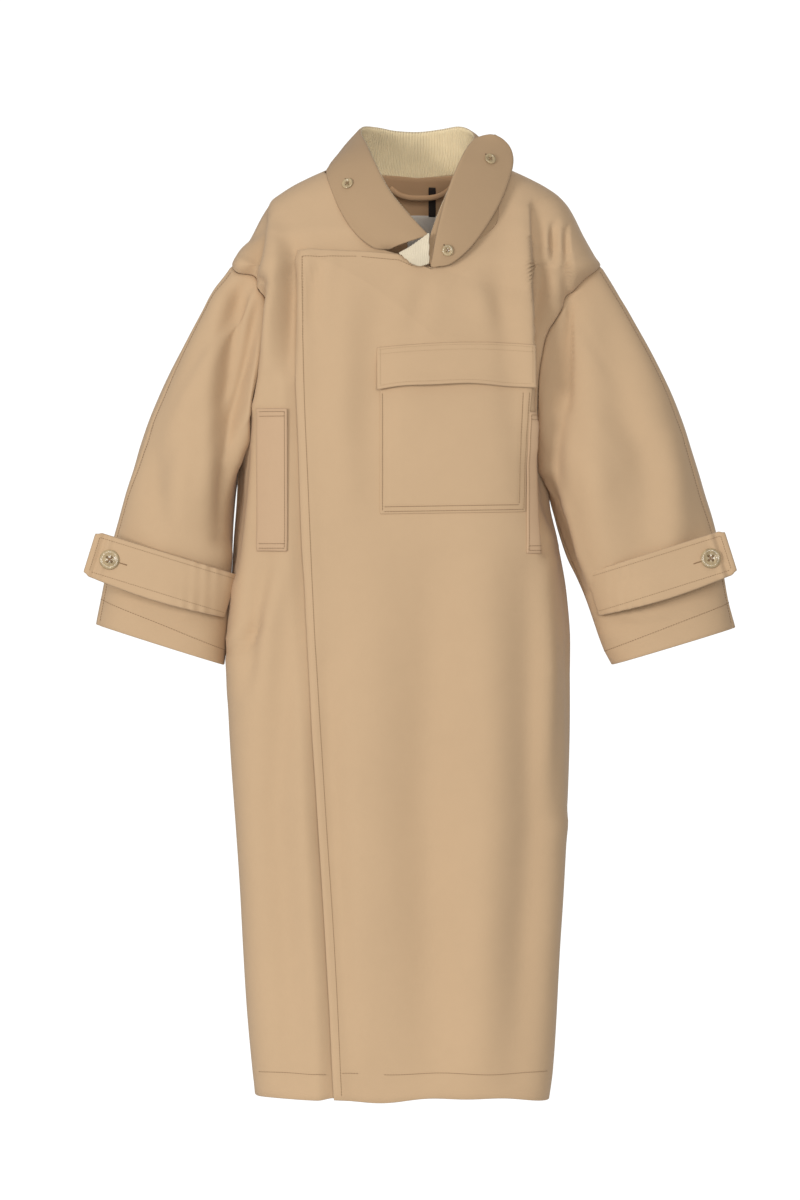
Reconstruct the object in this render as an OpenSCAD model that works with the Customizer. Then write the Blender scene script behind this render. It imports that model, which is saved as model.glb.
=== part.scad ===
// Long wrap-front coat with a funnel collar, throat tab, cuff tabs and a flapped chest pocket.
// Frame: +Z up, the coat faces -Y, +X is the wearer's left. The origin is the middle of the
// neck, where the hook of a clothes hanger rises out of the coat. Lengths are millimetres.

/* [Body] */
// Drop of the hem below the hanger point
coat_drop = 1180; // [1000:10:1300]
// Half the width of the coat across the chest, at the underarm
chest_half = 200; // [190:1:214]
// Half the width of the coat at the hips
hip_half = 222; // [205:1:226]
// Half the width of the coat at the hem
hem_half = 191; // [170:1:220]
// Half the depth of the coat, front to back, at the chest
chest_depth = 112; // [100:1:130]
// Half the depth of the coat at the hem
hem_depth = 86; // [70:1:110]
// How far the coat swings to the wearer's right, pulled by the overlap
hang_sway = 20; // [0:1:24]
// Squareness of the body's cross section, 2 is an ellipse
squareness = 3.5; // [2.5:0.1:4.5]

/* [Shoulder and sleeve] */
// Half the width over the armhole seams, at their highest point
seam_half = 240; // [228:1:252]
// Level of the armhole seam's highest point below the hanger point
armhole_top = 97; // [85:1:110]
// Level of the underarm below the hanger point
underarm_level = 330; // [300:5:360]
// Half the angle that the armhole takes out of the body at its widest
armhole_spread = 22; // [16:1:26]
// Distance of the cuff's outer corner from the middle of the coat
cuff_reach = 414; // [395:1:440]
// Drop of the cuff's outer corner below the hanger point
cuff_drop = 566; // [540:1:600]
// Width of the flat cuff
cuff_width = 168; // [150:1:176]
// Angle of the cuff to the horizontal
cuff_tilt = 17; // [12:1:20]
// Half the depth of the sleeve at the cuff
cuff_depth = 60; // [50:1:66]
// Outward bow of the sleeve's upper line
sleeve_bow = 30; // [10:1:40]
// Depth of the stitched turn-up at each cuff
cuff_turn = 34; // [20:1:40]
// Highest angle that a sleeve swings out to
sleeve_lift = 60; // [30:5:60]

/* [Cloth] */
// Thickness of the outer cloth with its backing
cloth = 2.0; // [1.4:0.1:2.2]
// Thickness of a facing or turn-up
facing = 1.5; // [1:0.1:1.6]
// Gap between two layers that lie on each other
layer_gap = 0.7; // [0.6:0.1:0.8]
// Gap at a seam between two panels
seam_gap = 1.2; // [1:0.1:2]
// Depth of the hem's turn-up
hem_turn = 32; // [20:1:45]

/* [Front wrap] */
// Distance of the wrap's fold line from the middle
fold_reach = 60; // [56:1:66]
// Distance of the wrap's free edge from the middle, at its top
wrap_reach_top = 158; // [140:1:165]
// Distance of the wrap's free edge from the middle, at the hem
wrap_reach_hem = 108; // [95:1:130]
// Level of the wrap's top edge below the hanger point
wrap_top = 80; // [76:1:90]
// How far the under front passes the middle line
underlap = 20; // [10:1:40]
// Depth of the under front behind the outer front
under_depth = 9; // [8.5:0.5:11]
// Number of concealed buttons
fly_buttons = 5; // [3:1:7]
// Diameter of a concealed button
fly_button_d = 20; // [15:1:22]

/* [Collar] */
// Height of the corduroy-lined collar above the neck seam at the back
collar_stand = 68; // [55:1:80]
// Diameter of a collar button
collar_button_d = 15; // [11.5:0.5:16]
// Width of the hanging loop's tube
loop_d = 8; // [5:0.5:9]
// Length of the hanging loop between its sewn ends
loop_span = 80; // [60:1:90]

/* [Cuff tabs] */
// Distance of a cuff tab's middle line above the cuff
tab_rise = 94; // [80:1:110]
// Width of a cuff tab
tab_width = 56; // [40:1:60]
// How far a cuff tab stands past the sleeve's edge
tab_overshoot = 14; // [5:1:18]
// Diameter of a cuff button
cuff_button_d = 27; // [20:1:30]
// Distance of the cuff button from the tab's end
tab_button_inset = 29; // [22:1:35]

/* [Pockets] */
// Width of the chest pocket
pocket_width = 186; // [150:1:188]
// Height of the chest pocket
pocket_height = 168; // [140:1:200]
// Width of the chest pocket's flap
flap_width = 200; // [190:1:204]
// Height of the chest pocket's flap
flap_height = 54; // [40:1:62]
// Room between the chest pocket and the coat
pocket_slack = 10; // [9:0.5:12]
// Length of a side pocket's welt
welt_length = 182; // [150:1:190]
// Width of a side pocket's welt
welt_width = 38; // [34:1:44]
// Size of a pocket bag: reach, thickness and height
bag_size = [112, 15, 230];

/* [Hidden] */

cotton = "burlywood";
inside = "tan";
ribbed = "wheat";
horn = "darkkhaki";
thread_colour = "khaki";
LEFT = 1;
RIGHT = -1;

hem_z = -coat_drop;
underarm_z = -underarm_level;
seam_top_z = -armhole_top;
hip_z = underarm_z - 290;

// Levels and half widths of the body, from the hem to the root of the neck
width_table = [
    [hem_z, hem_half], [hip_z, hip_half], [underarm_z, chest_half], [seam_top_z - 103, chest_half],
    [seam_top_z - 53, chest_half + 6], [seam_top_z - 23, seam_half - 18], [seam_top_z, seam_half],
    [seam_top_z + 39, seam_half - 23], [seam_top_z + 65, seam_half - 36],
    [seam_top_z + 91, seam_half - 56], [seam_top_z + 103, seam_half - 73],
    [seam_top_z + 117, seam_half - 102], [seam_top_z + 131, seam_half - 134]
];
// Levels and half depths of the body
depth_table = [
    [hem_z, hem_depth], [seam_top_z - 3, chest_depth], [seam_top_z + 37, chest_depth - 14],
    [seam_top_z + 67, chest_depth - 28], [seam_top_z + 97, chest_depth - 40],
    [seam_top_z + 117, chest_depth - 50], [seam_top_z + 131, chest_depth - 57]
];

// ---- Small helpers -------------------------------------------------------------------------
function unit(v) = v / norm(v);
function mix(a, b, t) = a + (b - a) * t;
function smooth(t) = let (u = min(1, max(0, t))) u * u * (3 - 2 * u);
function steps(count) = [for (i = [0:count]) i / count];
function ramp(x, table) = lookup(x, table);

// ---- The body's surface --------------------------------------------------------------------
// Angle 0 is the middle of the front, 90 the wearer's left side and 180 the middle of the back.
function sway(z) = -hang_sway * smooth((-z - 60) / (hip_level() - 60));
function hip_level() = -hip_z - 120;
function body_radius(angle, z) =
    1 / pow(pow(abs(cos(angle)) / ramp(z, depth_table), squareness)
            + pow(abs(sin(angle)) / ramp(z, width_table), squareness), 1 / squareness);
function body_point(angle, z) =
    let (r = body_radius(angle, z)) [sway(z) + r * sin(angle), -r * cos(angle), z];
function body_normal(angle, z) =
    unit(cross(body_point(angle + 2, z) - body_point(angle - 2, z),
               body_point(angle, z + 8) - body_point(angle, z - 8)));
// A point at a depth under the body's surface, negative depths stand off it
function layer(angle, z, depth) = body_point(angle, z) - body_normal(angle, z) * depth;
// Angle of the front surface at a distance x from the middle
function angle_at(x, z) =
    let (u = x - sway(z), a = ramp(z, width_table), b = ramp(z, depth_table))
    atan2(u, b * pow(1 - pow(min(0.98, abs(u / a)), squareness), 1 / squareness));
function front_layer(x, z, depth) = layer(angle_at(x, z), z, depth);

// Half the angle of the armhole at a level
function armhole_angle(z) =
    let (t = (seam_top_z - z) / (seam_top_z - underarm_z))
    (t <= 0 || t >= 1) ? 0 : armhole_spread * pow(sin(180 * t), 0.7);

// ---- Sheets of cloth -----------------------------------------------------------------------
function cell(r, c, cols) = r * cols + c;
function sheet_faces(rows, cols) =
    let (n = rows * cols, last_r = rows - 1, last_c = cols - 1)
    concat(
        [for (r = [0:rows - 2], c = [0:cols - 2], f = [
            [cell(r, c, cols), cell(r, c + 1, cols), cell(r + 1, c + 1, cols)],
            [cell(r, c, cols), cell(r + 1, c + 1, cols), cell(r + 1, c, cols)],
            [n + cell(r + 1, c + 1, cols), n + cell(r, c + 1, cols), n + cell(r, c, cols)],
            [n + cell(r + 1, c, cols), n + cell(r + 1, c + 1, cols), n + cell(r, c, cols)]]) f],
        [for (c = [0:cols - 2], f = [
            [cell(0, c + 1, cols), cell(0, c, cols), n + cell(0, c, cols)],
            [cell(0, c + 1, cols), n + cell(0, c, cols), n + cell(0, c + 1, cols)],
            [cell(last_r, c, cols), cell(last_r, c + 1, cols), n + cell(last_r, c + 1, cols)],
            [cell(last_r, c, cols), n + cell(last_r, c + 1, cols), n + cell(last_r, c, cols)]]) f],
        [for (r = [0:rows - 2], f = [
            [cell(r, 0, cols), cell(r + 1, 0, cols), n + cell(r + 1, 0, cols)],
            [cell(r, 0, cols), n + cell(r + 1, 0, cols), n + cell(r, 0, cols)],
            [cell(r + 1, last_c, cols), cell(r, last_c, cols), n + cell(r, last_c, cols)],
            [cell(r + 1, last_c, cols), n + cell(r, last_c, cols), n + cell(r + 1, last_c, cols)]]) f]
    );
function reversed(face) = [face[2], face[1], face[0]];

// A closed sheet between two grids of points with the same rows and columns
module sheet(outer, inner) {
    rows = len(outer);
    cols = len(outer[0]);
    a = outer[0][0];
    turn = cross(outer[0][1] - a, outer[1][1] - a) * (a - inner[0][0]);
    faces = sheet_faces(rows, cols);
    polyhedron(
        points = concat([for (row = outer) each row], [for (row = inner) each row]),
        faces = turn < 0 ? faces : [for (f = faces) reversed(f)]
    );
}

// A sheet on the body. Each row is [angle, level, angle, level] from its inner to its outer end,
// shares places the columns along a row, and a sheet that fades comes up to side_depth.
module body_sheet(rows, shares, thick, depth = 0, fade = false, side_depth = 0) {
    function at(row, s, d) = layer(mix(row[0], row[2], s), mix(row[1], row[3], s), d);
    function deep(s) = fade ? mix(depth, side_depth, smooth((s - 0.8) / 0.18)) : depth;
    sheet([for (r = rows) [for (s = shares) at(r, s, deep(s))]],
          [for (r = rows) [for (s = shares) at(r, s, deep(s) + thick)]]);
}

// A sheet on the front surface, between two distances and two levels. bulge stands it off
// between its edges.
module front_sheet(x0, x1, z0, z1, cols, rows, thick, depth) {
    grid = [for (v = steps(rows)) [for (u = steps(cols)) [mix(x0, x1, u), mix(z0, z1, v)]]];
    sheet([for (row = grid) [for (p = row) front_layer(p[0], p[1], depth)]],
          [for (row = grid) [for (p = row) front_layer(p[0], p[1], depth + thick)]]);
}

// ---- Body panels ---------------------------------------------------------------------------
// Levels below the underarm, shared by every body panel
lower_levels = [for (t = [0, 0.08, 0.18, 0.3, 0.34, 0.5, 0.66, 0.82, 1]) mix(underarm_z, hem_z, t)];
panel_shares = [0, 0.12, 0.24, 0.36, 0.48, 0.58, 0.66, 0.73, 0.8, 0.86, 0.92, 0.96, 1];
seam_angle = seam_gap / 4;
facing_shares = [for (i = [0:3]) panel_shares[i]];
turn_shares = [0.03, for (i = [1:10]) panel_shares[i]];

// The neck seam, as angle and level, from the side of the neck to the front
neck_seam = [[90, 32], [66, 22], [57, 0], [49, -45], [34, -74], [20, -94], [13, -104]];
// Levels along the armhole that the rows from the neck seam run out to
armhole_levels = [for (t = [0.02, 0.045, 0.075, 0.105, 0.135, 0.165]) mix(seam_top_z, underarm_z, t)];

function panel_edge(z) = 90 - armhole_angle(z) - seam_angle;
// Rows of a front panel below the neck seam: the inner edge stands at x_edge from the middle
function front_rows(x_edge, side) = concat(
    [for (t = [0.2, 0.3, 0.42, 0.58, 0.75, 0.9])
        let (z_out = mix(seam_top_z, underarm_z, t),
             z_in = mix(-wrap_top - 9, underarm_z, smooth(mix(0.06, 0.97, (t - 0.2) / 0.7))))
        [side * angle_at(side * x_edge, z_in) * side, z_in, side * panel_edge(z_out), z_out]],
    [for (z = lower_levels) [angle_at(side * x_edge, z), z, side * (90 - seam_angle), z]]
);
function neck_rows(side, count) =
    [for (i = [0:count]) [side * (neck_seam[i][0] - (i == 0 ? seam_angle : 0)), neck_seam[i][1],
        side * (i == 0 ? 90 - seam_angle : panel_edge(armhole_levels[i - 1])),
        i == 0 ? seam_top_z : armhole_levels[i - 1]]];

function left_front_rows() = concat(
    neck_rows(LEFT, 6),
    [[angle_at(-fold_reach + 0.6, -wrap_top - 12), -wrap_top - 12,
      panel_edge(mix(seam_top_z, underarm_z, 0.19)), mix(seam_top_z, underarm_z, 0.19)]],
    [for (r = front_rows_at(-fold_reach + 0.6)) r]
);
function front_rows_at(x_edge) = concat(
    [for (t = [0.26, 0.36, 0.5, 0.66, 0.84])
        let (z_out = mix(seam_top_z, underarm_z, t),
             z_in = mix(-wrap_top - 12, underarm_z, smooth(mix(0.1, 0.9, (t - 0.26) / 0.58))))
        [angle_at(x_edge, z_in), z_in, panel_edge(z_out), z_out]],
    [for (z = lower_levels) [angle_at(x_edge, z), z, 90 - seam_angle, z]]
);
function right_front_rows() = concat(
    neck_rows(RIGHT, 4),
    [[-20, -80, -panel_edge(mix(seam_top_z, underarm_z, 0.165)), mix(seam_top_z, underarm_z, 0.165)],
     [angle_at(underlap, -92), -92,
      -panel_edge(mix(seam_top_z, underarm_z, 0.21)), mix(seam_top_z, underarm_z, 0.21)]],
    [for (t = [0.28, 0.38, 0.5, 0.66, 0.84])
        let (z_out = mix(seam_top_z, underarm_z, t),
             z_in = mix(-92, underarm_z, smooth(mix(0.1, 0.9, (t - 0.28) / 0.56))))
        [angle_at(underlap, z_in), z_in, -panel_edge(z_out), z_out]],
    [for (z = lower_levels) [angle_at(underlap, z), z, -90 + seam_angle, z]]
);
back_seam = 180 - seam_angle;
function back_rows(side) = concat(
    [[side * (90 + seam_angle), 32, side * (90 + seam_angle), seam_top_z]],
    [for (r = [[112, 29, 0.03], [135, 26, 0.065], [158, 22, 0.1], [back_seam, 20, 0.135],
               [back_seam, -15, 0.17], [back_seam, -60, 0.24], [back_seam, -110, 0.34],
               [back_seam, -165, 0.48], [back_seam, -225, 0.64], [back_seam, -285, 0.84]])
        let (z_out = mix(seam_top_z, underarm_z, r[2]))
        [side * r[0], r[1], side * (90 + armhole_angle(z_out) + seam_angle), z_out]],
    [for (z = lower_levels) [side * back_seam, z, side * (90 + seam_angle), z]]
);

module back_panel(side) {
    color(cotton) body_sheet(back_rows(side), panel_shares, cloth);
}

module back_vent_underlap() {
    color(cotton) body_sheet(
        [for (t = steps(4)) let (z = mix(hem_z + 380, hem_z + 6, t)) [174, z, 187, z]],
        steps(4), facing, cloth + layer_gap);
}

module back_neck_facing() {
    for (side = [LEFT, RIGHT])
        color(inside) body_sheet([for (i = [0:7]) back_rows(side)[i]], facing_shares, facing,
                                 cloth + layer_gap);
}

module front_panel_left() {
    color(cotton) body_sheet(left_front_rows(), panel_shares, cloth);
}

module front_panel_right() {
    color(cotton) body_sheet(right_front_rows(), panel_shares, cloth, under_depth, true);
}

module front_facing_left() {
    color(inside) front_sheet(-fold_reach + 4, 45, -150, hem_z + hem_turn + 8, 4, 8, facing,
                              cloth + layer_gap);
}

module front_facing_right() {
    color(inside) front_sheet(-70, underlap - 4, -110, hem_z + hem_turn + 8, 4, 8, facing,
                              under_depth + cloth + layer_gap);
}

// ---- Hem -----------------------------------------------------------------------------------
turn_levels = [hem_z + hem_turn, hem_z + 2];
module hem_turnup_left() {
    color(inside) body_sheet(
        [for (z = turn_levels) [angle_at(-fold_reach + 0.6, z), z, 90 - seam_angle, z]],
        turn_shares, facing, cloth + layer_gap);
}
module hem_turnup_right() {
    color(inside) body_sheet(
        [for (z = turn_levels) [angle_at(underlap, z), z, -90 + seam_angle, z]],
        turn_shares, facing, under_depth + cloth + layer_gap, true, cloth + layer_gap);
}
module hem_turnup_back() {
    for (side = [LEFT, RIGHT])
        color(inside) body_sheet(
            [for (z = turn_levels) [side * back_seam, z, side * (90 + seam_angle), z]],
            [for (i = [1:11]) panel_shares[i]], facing, cloth + layer_gap);
}

// ---- Front wrap ----------------------------------------------------------------------------
wrap_levels = [for (t = [0, 0.02, 0.05, 0.09, 0.2, 0.34, 0.5, 0.66, 0.82, 1])
    mix(-wrap_top, hem_z, t)];
function wrap_edge(z) = -mix(wrap_reach_top, wrap_reach_hem, (-z - wrap_top) / (coat_drop - wrap_top));
// Grid of the wrap between its fold line and its free edge, pulled in from each edge by inset
// and without the levels above first
function wrap_grid(inset, first, depth) =
    [for (i = [first:len(wrap_levels) - 1])
        let (z = max(wrap_levels[i], hem_z + inset))
        [for (u = steps(5)) front_layer(mix(-fold_reach - 0.6 - inset / 3, wrap_edge(z) + inset, u),
                                        z, depth)]];
module placket_flap() {
    color(cotton) sheet(wrap_grid(0, 0, 0), wrap_grid(0, 0, cloth));
}
fly_depth = cloth + layer_gap + 0.3;
module placket_fly_strip() {
    color(inside) difference() {
        sheet(wrap_grid(9, 1, fly_depth), wrap_grid(9, 1, fly_depth + facing));
        for (i = [0:fly_buttons - 1])
            translate(front_layer(fly_button_x, fly_button_z(i), fly_depth))
                rotate([90, 0, 0]) slot(fly_button_d + 3, 3, 12);
    }
}
// An upright buttonhole cutter
module slot(length, width, height) {
    linear_extrude(height, center = true) square([width, length], center = true);
}
fly_button_x = -fold_reach - 26;
fly_button_thick = 2.4;
fly_shank = under_depth - fly_depth - facing - 1 - fly_button_thick;
function fly_button_z(i) = mix(-150, -940, i / (fly_buttons - 1));
function fly_button_at(i) = front_layer(fly_button_x, fly_button_z(i), fly_depth + facing + 1);

// ---- Buttons -------------------------------------------------------------------------------
// A four-hole button, its outer face at z 0 and its back towards -z
module button(diameter, thick) {
    rim = diameter * 0.09;
    hole_reach = diameter * 0.09;
    difference() {
        translate([0, 0, -thick]) cylinder(d = diameter, h = thick, $fn = 40);
        translate([0, 0, -thick * 0.25]) cylinder(r = diameter / 2 - rim, h = thick, $fn = 40);
        for (a = [45:90:315])
            rotate(a) translate([hole_reach * 1.4, 0, -thick - 1])
                cylinder(d = diameter * 0.075, h = thick + 2, $fn = 16);
    }
}
// The shank of thread between a button's back and the cloth
module shank(diameter, thick, length) {
    translate([0, 0, 0.25 - thick - length])
        cylinder(d = diameter * 0.16, h = length - 0.3, $fn = 20);
}
// Turns z towards a direction
module aim(at, direction) {
    d = unit(direction);
    translate(at) rotate([0, acos(d[2]), atan2(d[1], d[0])]) children();
}

module fly_buttons() {
    color(horn) for (i = [0:fly_buttons - 1])
        aim(fly_button_at(i), [0, -1, 0]) button(fly_button_d, fly_button_thick);
}
module fly_button_threads() {
    color(thread_colour) for (i = [0:fly_buttons - 1])
        aim(fly_button_at(i), [0, -1, 0])
            shank(fly_button_d, fly_button_thick, fly_shank);
}

// ---- Collar --------------------------------------------------------------------------------
// The collar's base follows the neck seam from the wearer's right, round the back, to the left
collar_base = [
    [-20, -80], [-34, -74], [-49, -45], [-57, 0], [-66, 22], [-90, 32], [-112, 29], [-135, 26],
    [-158, 22], [-180, 20], [-202, 22], [-225, 26], [-248, 29], [-270, 32], [-294, 22], [-303, 0],
    [-311, -45], [-326, -74], [-347, -104]
];
// The collar's upper edge, point for point with its base
rise = collar_stand - 68;
collar_top = [
    [16, -114, -60], [-13, -107, -32], [-38, -90, 0], [-56, -62, 34], [-66, -32, 60],
    [-72, 2, 78 + rise], [-67, 26, 85 + rise], [-52, 44, 88 + rise], [-28, 56, 87 + rise],
    [0, 60, 86 + rise], [28, 56, 88 + rise], [52, 44, 90 + rise], [69, 26, 89 + rise],
    [76, 2, 84 + rise], [74, -32, 64], [62, -62, 36], [47, -90, 0], [32, -107, -38], [12, -118, -93]
];
collar_last = len(collar_base) - 1;
// The collar's points stand out with the chest, which they were drawn 112 deep against
function over_chest(p) = [p[0], p[1] + (chest_depth - 112) * max(-1, min(1, p[1] / 50)), p[2]];
// The collar's middle surface: i runs round the neck and v from the base to the upper edge
function collar_mid(i, v) =
    let (k = min(collar_last - 1, floor(i)), f = i - k,
         base = mix(layer(collar_base[k][0], collar_base[k][1], -cloth - 1),
                    layer(collar_base[k + 1][0], collar_base[k + 1][1], -cloth - 1), f),
         top = mix(over_chest(collar_top[k]), over_chest(collar_top[k + 1]), f))
    mix(base, top, v);
function collar_out(i, v) =
    let (along = collar_mid(min(collar_last, i + 0.5), v) - collar_mid(max(0, i - 0.5), v),
         up = collar_mid(i, min(1, v + 0.1)) - collar_mid(i, max(0, v - 0.1)))
    unit(cross(up, along));
function collar_at(i, v, depth) = collar_mid(i, v) - collar_out(i, v) * depth;
collar_rows = [0, 0.34, 0.67, 1];

module collar_band(first, last, low, depth, thick) {
    rows = [for (v = collar_rows) max(low, v)];
    columns = [first, for (i = [ceil(first + 0.01):1:floor(last - 0.01)]) i, last];
    sheet([for (v = rows) [for (i = columns) collar_at(i, v, depth)]],
          [for (v = rows) [for (i = columns) collar_at(i, v, depth + thick)]]);
}
module collar_right() { color(cotton) collar_band(0, 4.9, 0, 0, cloth); }
module collar_back() { color(cotton) collar_band(5, 13, 0, 0, cloth); }
module collar_left() { color(cotton) collar_band(13.1, 18, 0, 0, cloth); }
module collar_corduroy() {
    color(ribbed) collar_band(1, 17, 0.1, cloth + layer_gap, cloth);
}

collar_button_thick = 2.6;
collar_button_lift = 1.2;
module collar_button_set(places) {
    for (p = places) aim(p[0] + unit(p[1]) * (collar_button_thick + collar_button_lift), p[1])
        children();
}
collar_button_place = [[collar_at(3.1, 0.42, 0), collar_out(3.1, 0.42)]];
module collar_button() {
    color(horn) collar_button_set(collar_button_place) button(collar_button_d, collar_button_thick);
}
module collar_button_thread() {
    color(thread_colour) collar_button_set(collar_button_place)
        shank(collar_button_d, collar_button_thick, collar_button_lift);
}

// ---- Throat tab ----------------------------------------------------------------------------
// The tab lies folded back over the collar: pairs of points across it, from its fold to its
// rounded end
tab_pairs = [
    [[18, -124, -91], [28, -124, -104]], [[25, -122, -62], [53, -124, -90]],
    [[37, -116, -24], [81, -115, -64]], [[51, -102, 8], [103, -100, -26]],
    [[61, -86, 32], [117, -84, 6]], [[70, -70, 54], [124, -66, 32]],
    [[79, -60, 66], [124, -56, 46]], [[92, -54, 72], [119, -52, 60]]
];
function tab_at(i, u) = mix(over_chest(tab_pairs[i][0]), over_chest(tab_pairs[i][1]), u);
function tab_out(i, u) =
    let (last = len(tab_pairs) - 1,
         along = tab_at(min(last, i + 1), u) - tab_at(max(0, i - 1), u),
         across = tab_pairs[i][1] - tab_pairs[i][0])
    unit(cross(across, along));
module throat_tab() {
    columns = steps(4);
    color(cotton) sheet(
        [for (i = [0:len(tab_pairs) - 1]) [for (u = columns) tab_at(i, u) + tab_out(i, u) * cloth]],
        [for (i = [0:len(tab_pairs) - 1]) [for (u = columns) tab_at(i, u)]]);
}
tab_button_places = [for (p = [[1, 0.35], [5, 0.55]])
    [tab_at(p[0], p[1]) + tab_out(p[0], p[1]) * cloth, tab_out(p[0], p[1])]];
module throat_tab_buttons() {
    color(horn) collar_button_set(tab_button_places) button(collar_button_d, collar_button_thick);
}
module throat_tab_threads() {
    color(thread_colour) collar_button_set(tab_button_places)
        shank(collar_button_d, collar_button_thick, collar_button_lift);
}

// ---- Inside the neck -----------------------------------------------------------------------
neck_middle = 17;
trim_depth = cloth + layer_gap + facing + 1.9;
// A patch on the inside of the back, between two distances from neck_middle and two levels
module back_patch(reach, z0, z1, thick, depth) {
    function back_angle(x, z) = 180 - angle_at(x, z);
    sheet([for (z = [z0, (z0 + z1) / 2, z1]) [for (u = [-1, -0.4, 0.2, 1])
            layer(back_angle(neck_middle + reach * u, z), z, depth)]],
          [for (z = [z0, (z0 + z1) / 2, z1]) [for (u = [-1, -0.4, 0.2, 1])
            layer(back_angle(neck_middle + reach * u, z), z, depth + thick)]]);
}
label_half = 30;
label_top = -23;
label_height = 52;
module neck_label() {
    color("ivory") back_patch(label_half, label_top, label_top - label_height, 0.8, trim_depth);
}
module size_tape() {
    color("black") back_patch(5, 13, label_top + 0.6, 0.8, trim_depth);
}

// The loop droops between two sewn ends under the collar seam
loop_end_z = 11;
loop_y = chest_depth - 50 - trim_depth - 8;
loop_dip = 14;
loop_steps = 14;
module hang_loop() {
    function loop_point(t) = let (s = 2 * t - 1)
        [4 + loop_span / 2 * s, loop_y - 7 * (1 - s * s), loop_end_z - loop_dip * (1 - pow(abs(s), 3))];
    path = [for (t = steps(loop_steps)) loop_point(t)];
    color(cotton) sweep(path, loop_d / 2, 10);
}
// A round tube along a path of points
module sweep(path, radius, sides) {
    last = len(path) - 1;
    rings = [for (i = [0:last])
        let (d = unit(path[min(last, i + 1)] - path[max(0, i - 1)]),
             side = unit(cross(d, [0, 1, 0])), up = cross(side, d))
        [for (k = [0:sides - 1]) path[i] + radius * (side * cos(360 * k / sides)
                                                    + up * sin(360 * k / sides))]];
    polyhedron(
        points = [for (ring = rings) each ring],
        faces = concat(
            [[for (k = [0:sides - 1]) k]],
            [for (i = [0:last - 1], k = [0:sides - 1], f = [
                [i * sides + k, (i + 1) * sides + k, (i + 1) * sides + (k + 1) % sides],
                [i * sides + k, (i + 1) * sides + (k + 1) % sides, i * sides + (k + 1) % sides]]) f],
            [[for (k = [sides - 1:-1:0]) last * sides + k]]));
}

// ---- Pockets -------------------------------------------------------------------------------
pocket_left_x = -48;
flap_left_x = -52;
flap_top_z = -202;
pocket_top_z = flap_top_z - flap_height + 6;
pocket_bottom_z = pocket_top_z - pocket_height;
pocket_right_x = pocket_left_x + pocket_width;
pocket_rim = 7;
module chest_pocket() {
    color(cotton) {
        front_sheet(pocket_left_x, pocket_right_x, pocket_top_z, pocket_bottom_z, 10, 4, cloth,
                    -pocket_slack - cloth);
        front_sheet(pocket_left_x, pocket_right_x, pocket_bottom_z + pocket_rim, pocket_bottom_z,
                    10, 1, pocket_slack - 0.4, -pocket_slack + 0.1);
        for (x = [pocket_left_x, pocket_right_x - pocket_rim])
            front_sheet(x, x + pocket_rim, pocket_top_z, pocket_bottom_z + pocket_rim + 0.2, 1, 4,
                        pocket_slack - 0.4, -pocket_slack + 0.1);
    }
}
flap_depth = -pocket_slack - cloth - 1.2;
module pocket_flap() {
    color(cotton) front_sheet(flap_left_x, flap_left_x + flap_width, flap_top_z,
                              flap_top_z - flap_height, 10, 3, cloth, flap_depth - cloth);
}

welt_top_z = underarm_z + 44;
function welt_x(side, share) =
    sway(underarm_z) + side * (chest_half - 7 - welt_width * (1 - share));
module welt(side) {
    color(cotton) front_sheet(welt_x(side, 0), welt_x(side, 1), welt_top_z,
                              welt_top_z - welt_length, 5, 4, cloth, -cloth - layer_gap);
}
// Room between the coat's front surface and a pocket bag
bag_clear = 19.7;
// Corner of a pocket bag: its mouth end nearest the side, its front and its bottom
function bag_mouth(side) =
    let (x = side * (chest_half - 64) + sway(underarm_z), z = welt_top_z - welt_length - 30)
    [x, front_layer(-abs(x), z + bag_size[2] / 2, 0)[1] + bag_clear, z];
module pocket_bag(side) {
    wall = 1.2;
    m = bag_mouth(side);
    color(inside) translate([side > 0 ? m[0] - bag_size[0] : m[0], m[1], m[2]]) difference() {
        cube(bag_size);
        translate([side > 0 ? wall : -1, wall, wall])
            cube([bag_size[0] - wall + 1, bag_size[1] - 2 * wall, bag_size[2] - 2 * wall]);
    }
}

// ---- Sleeves -------------------------------------------------------------------------------
// Sleeves are worked out for the wearer's left with side 1 and for the right with side -1.
// Turn 0 is the over-arm line, 90 the front, 180 the under-arm line and 270 the back.
function over_arm(k, side) =
    let (a = [body_point(side * 90, seam_top_z)[0] * side, seam_top_z],
         b = [cuff_reach, -cuff_drop],
         d = unit(b - a),
         c = (a + b) / 2 + 2 * sleeve_bow * [-d[1], d[0]])
    a * pow(1 - k, 2) + c * 2 * k * (1 - k) + b * k * k;
under_clear = 10;
function under_arm(k, side) =
    let (a = [body_point(side * 90, underarm_z)[0] * side, underarm_z],
         b = [cuff_reach, -cuff_drop] - cuff_width * [cos(cuff_tilt), sin(cuff_tilt)])
    mix(a, b, k) + [under_clear * sqrt(max(0, sin(180 * k))), 0];
function sleeve_half_depth(k) = mix(76, cuff_depth, smooth(k));
function armhole_point(turn, side) =
    let (z = mix(underarm_z, seam_top_z, (1 + cos(turn)) / 2), front = sin(turn) >= 0)
    body_point(side * (90 - (front ? 1 : -1) * armhole_angle(z)), z);
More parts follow.
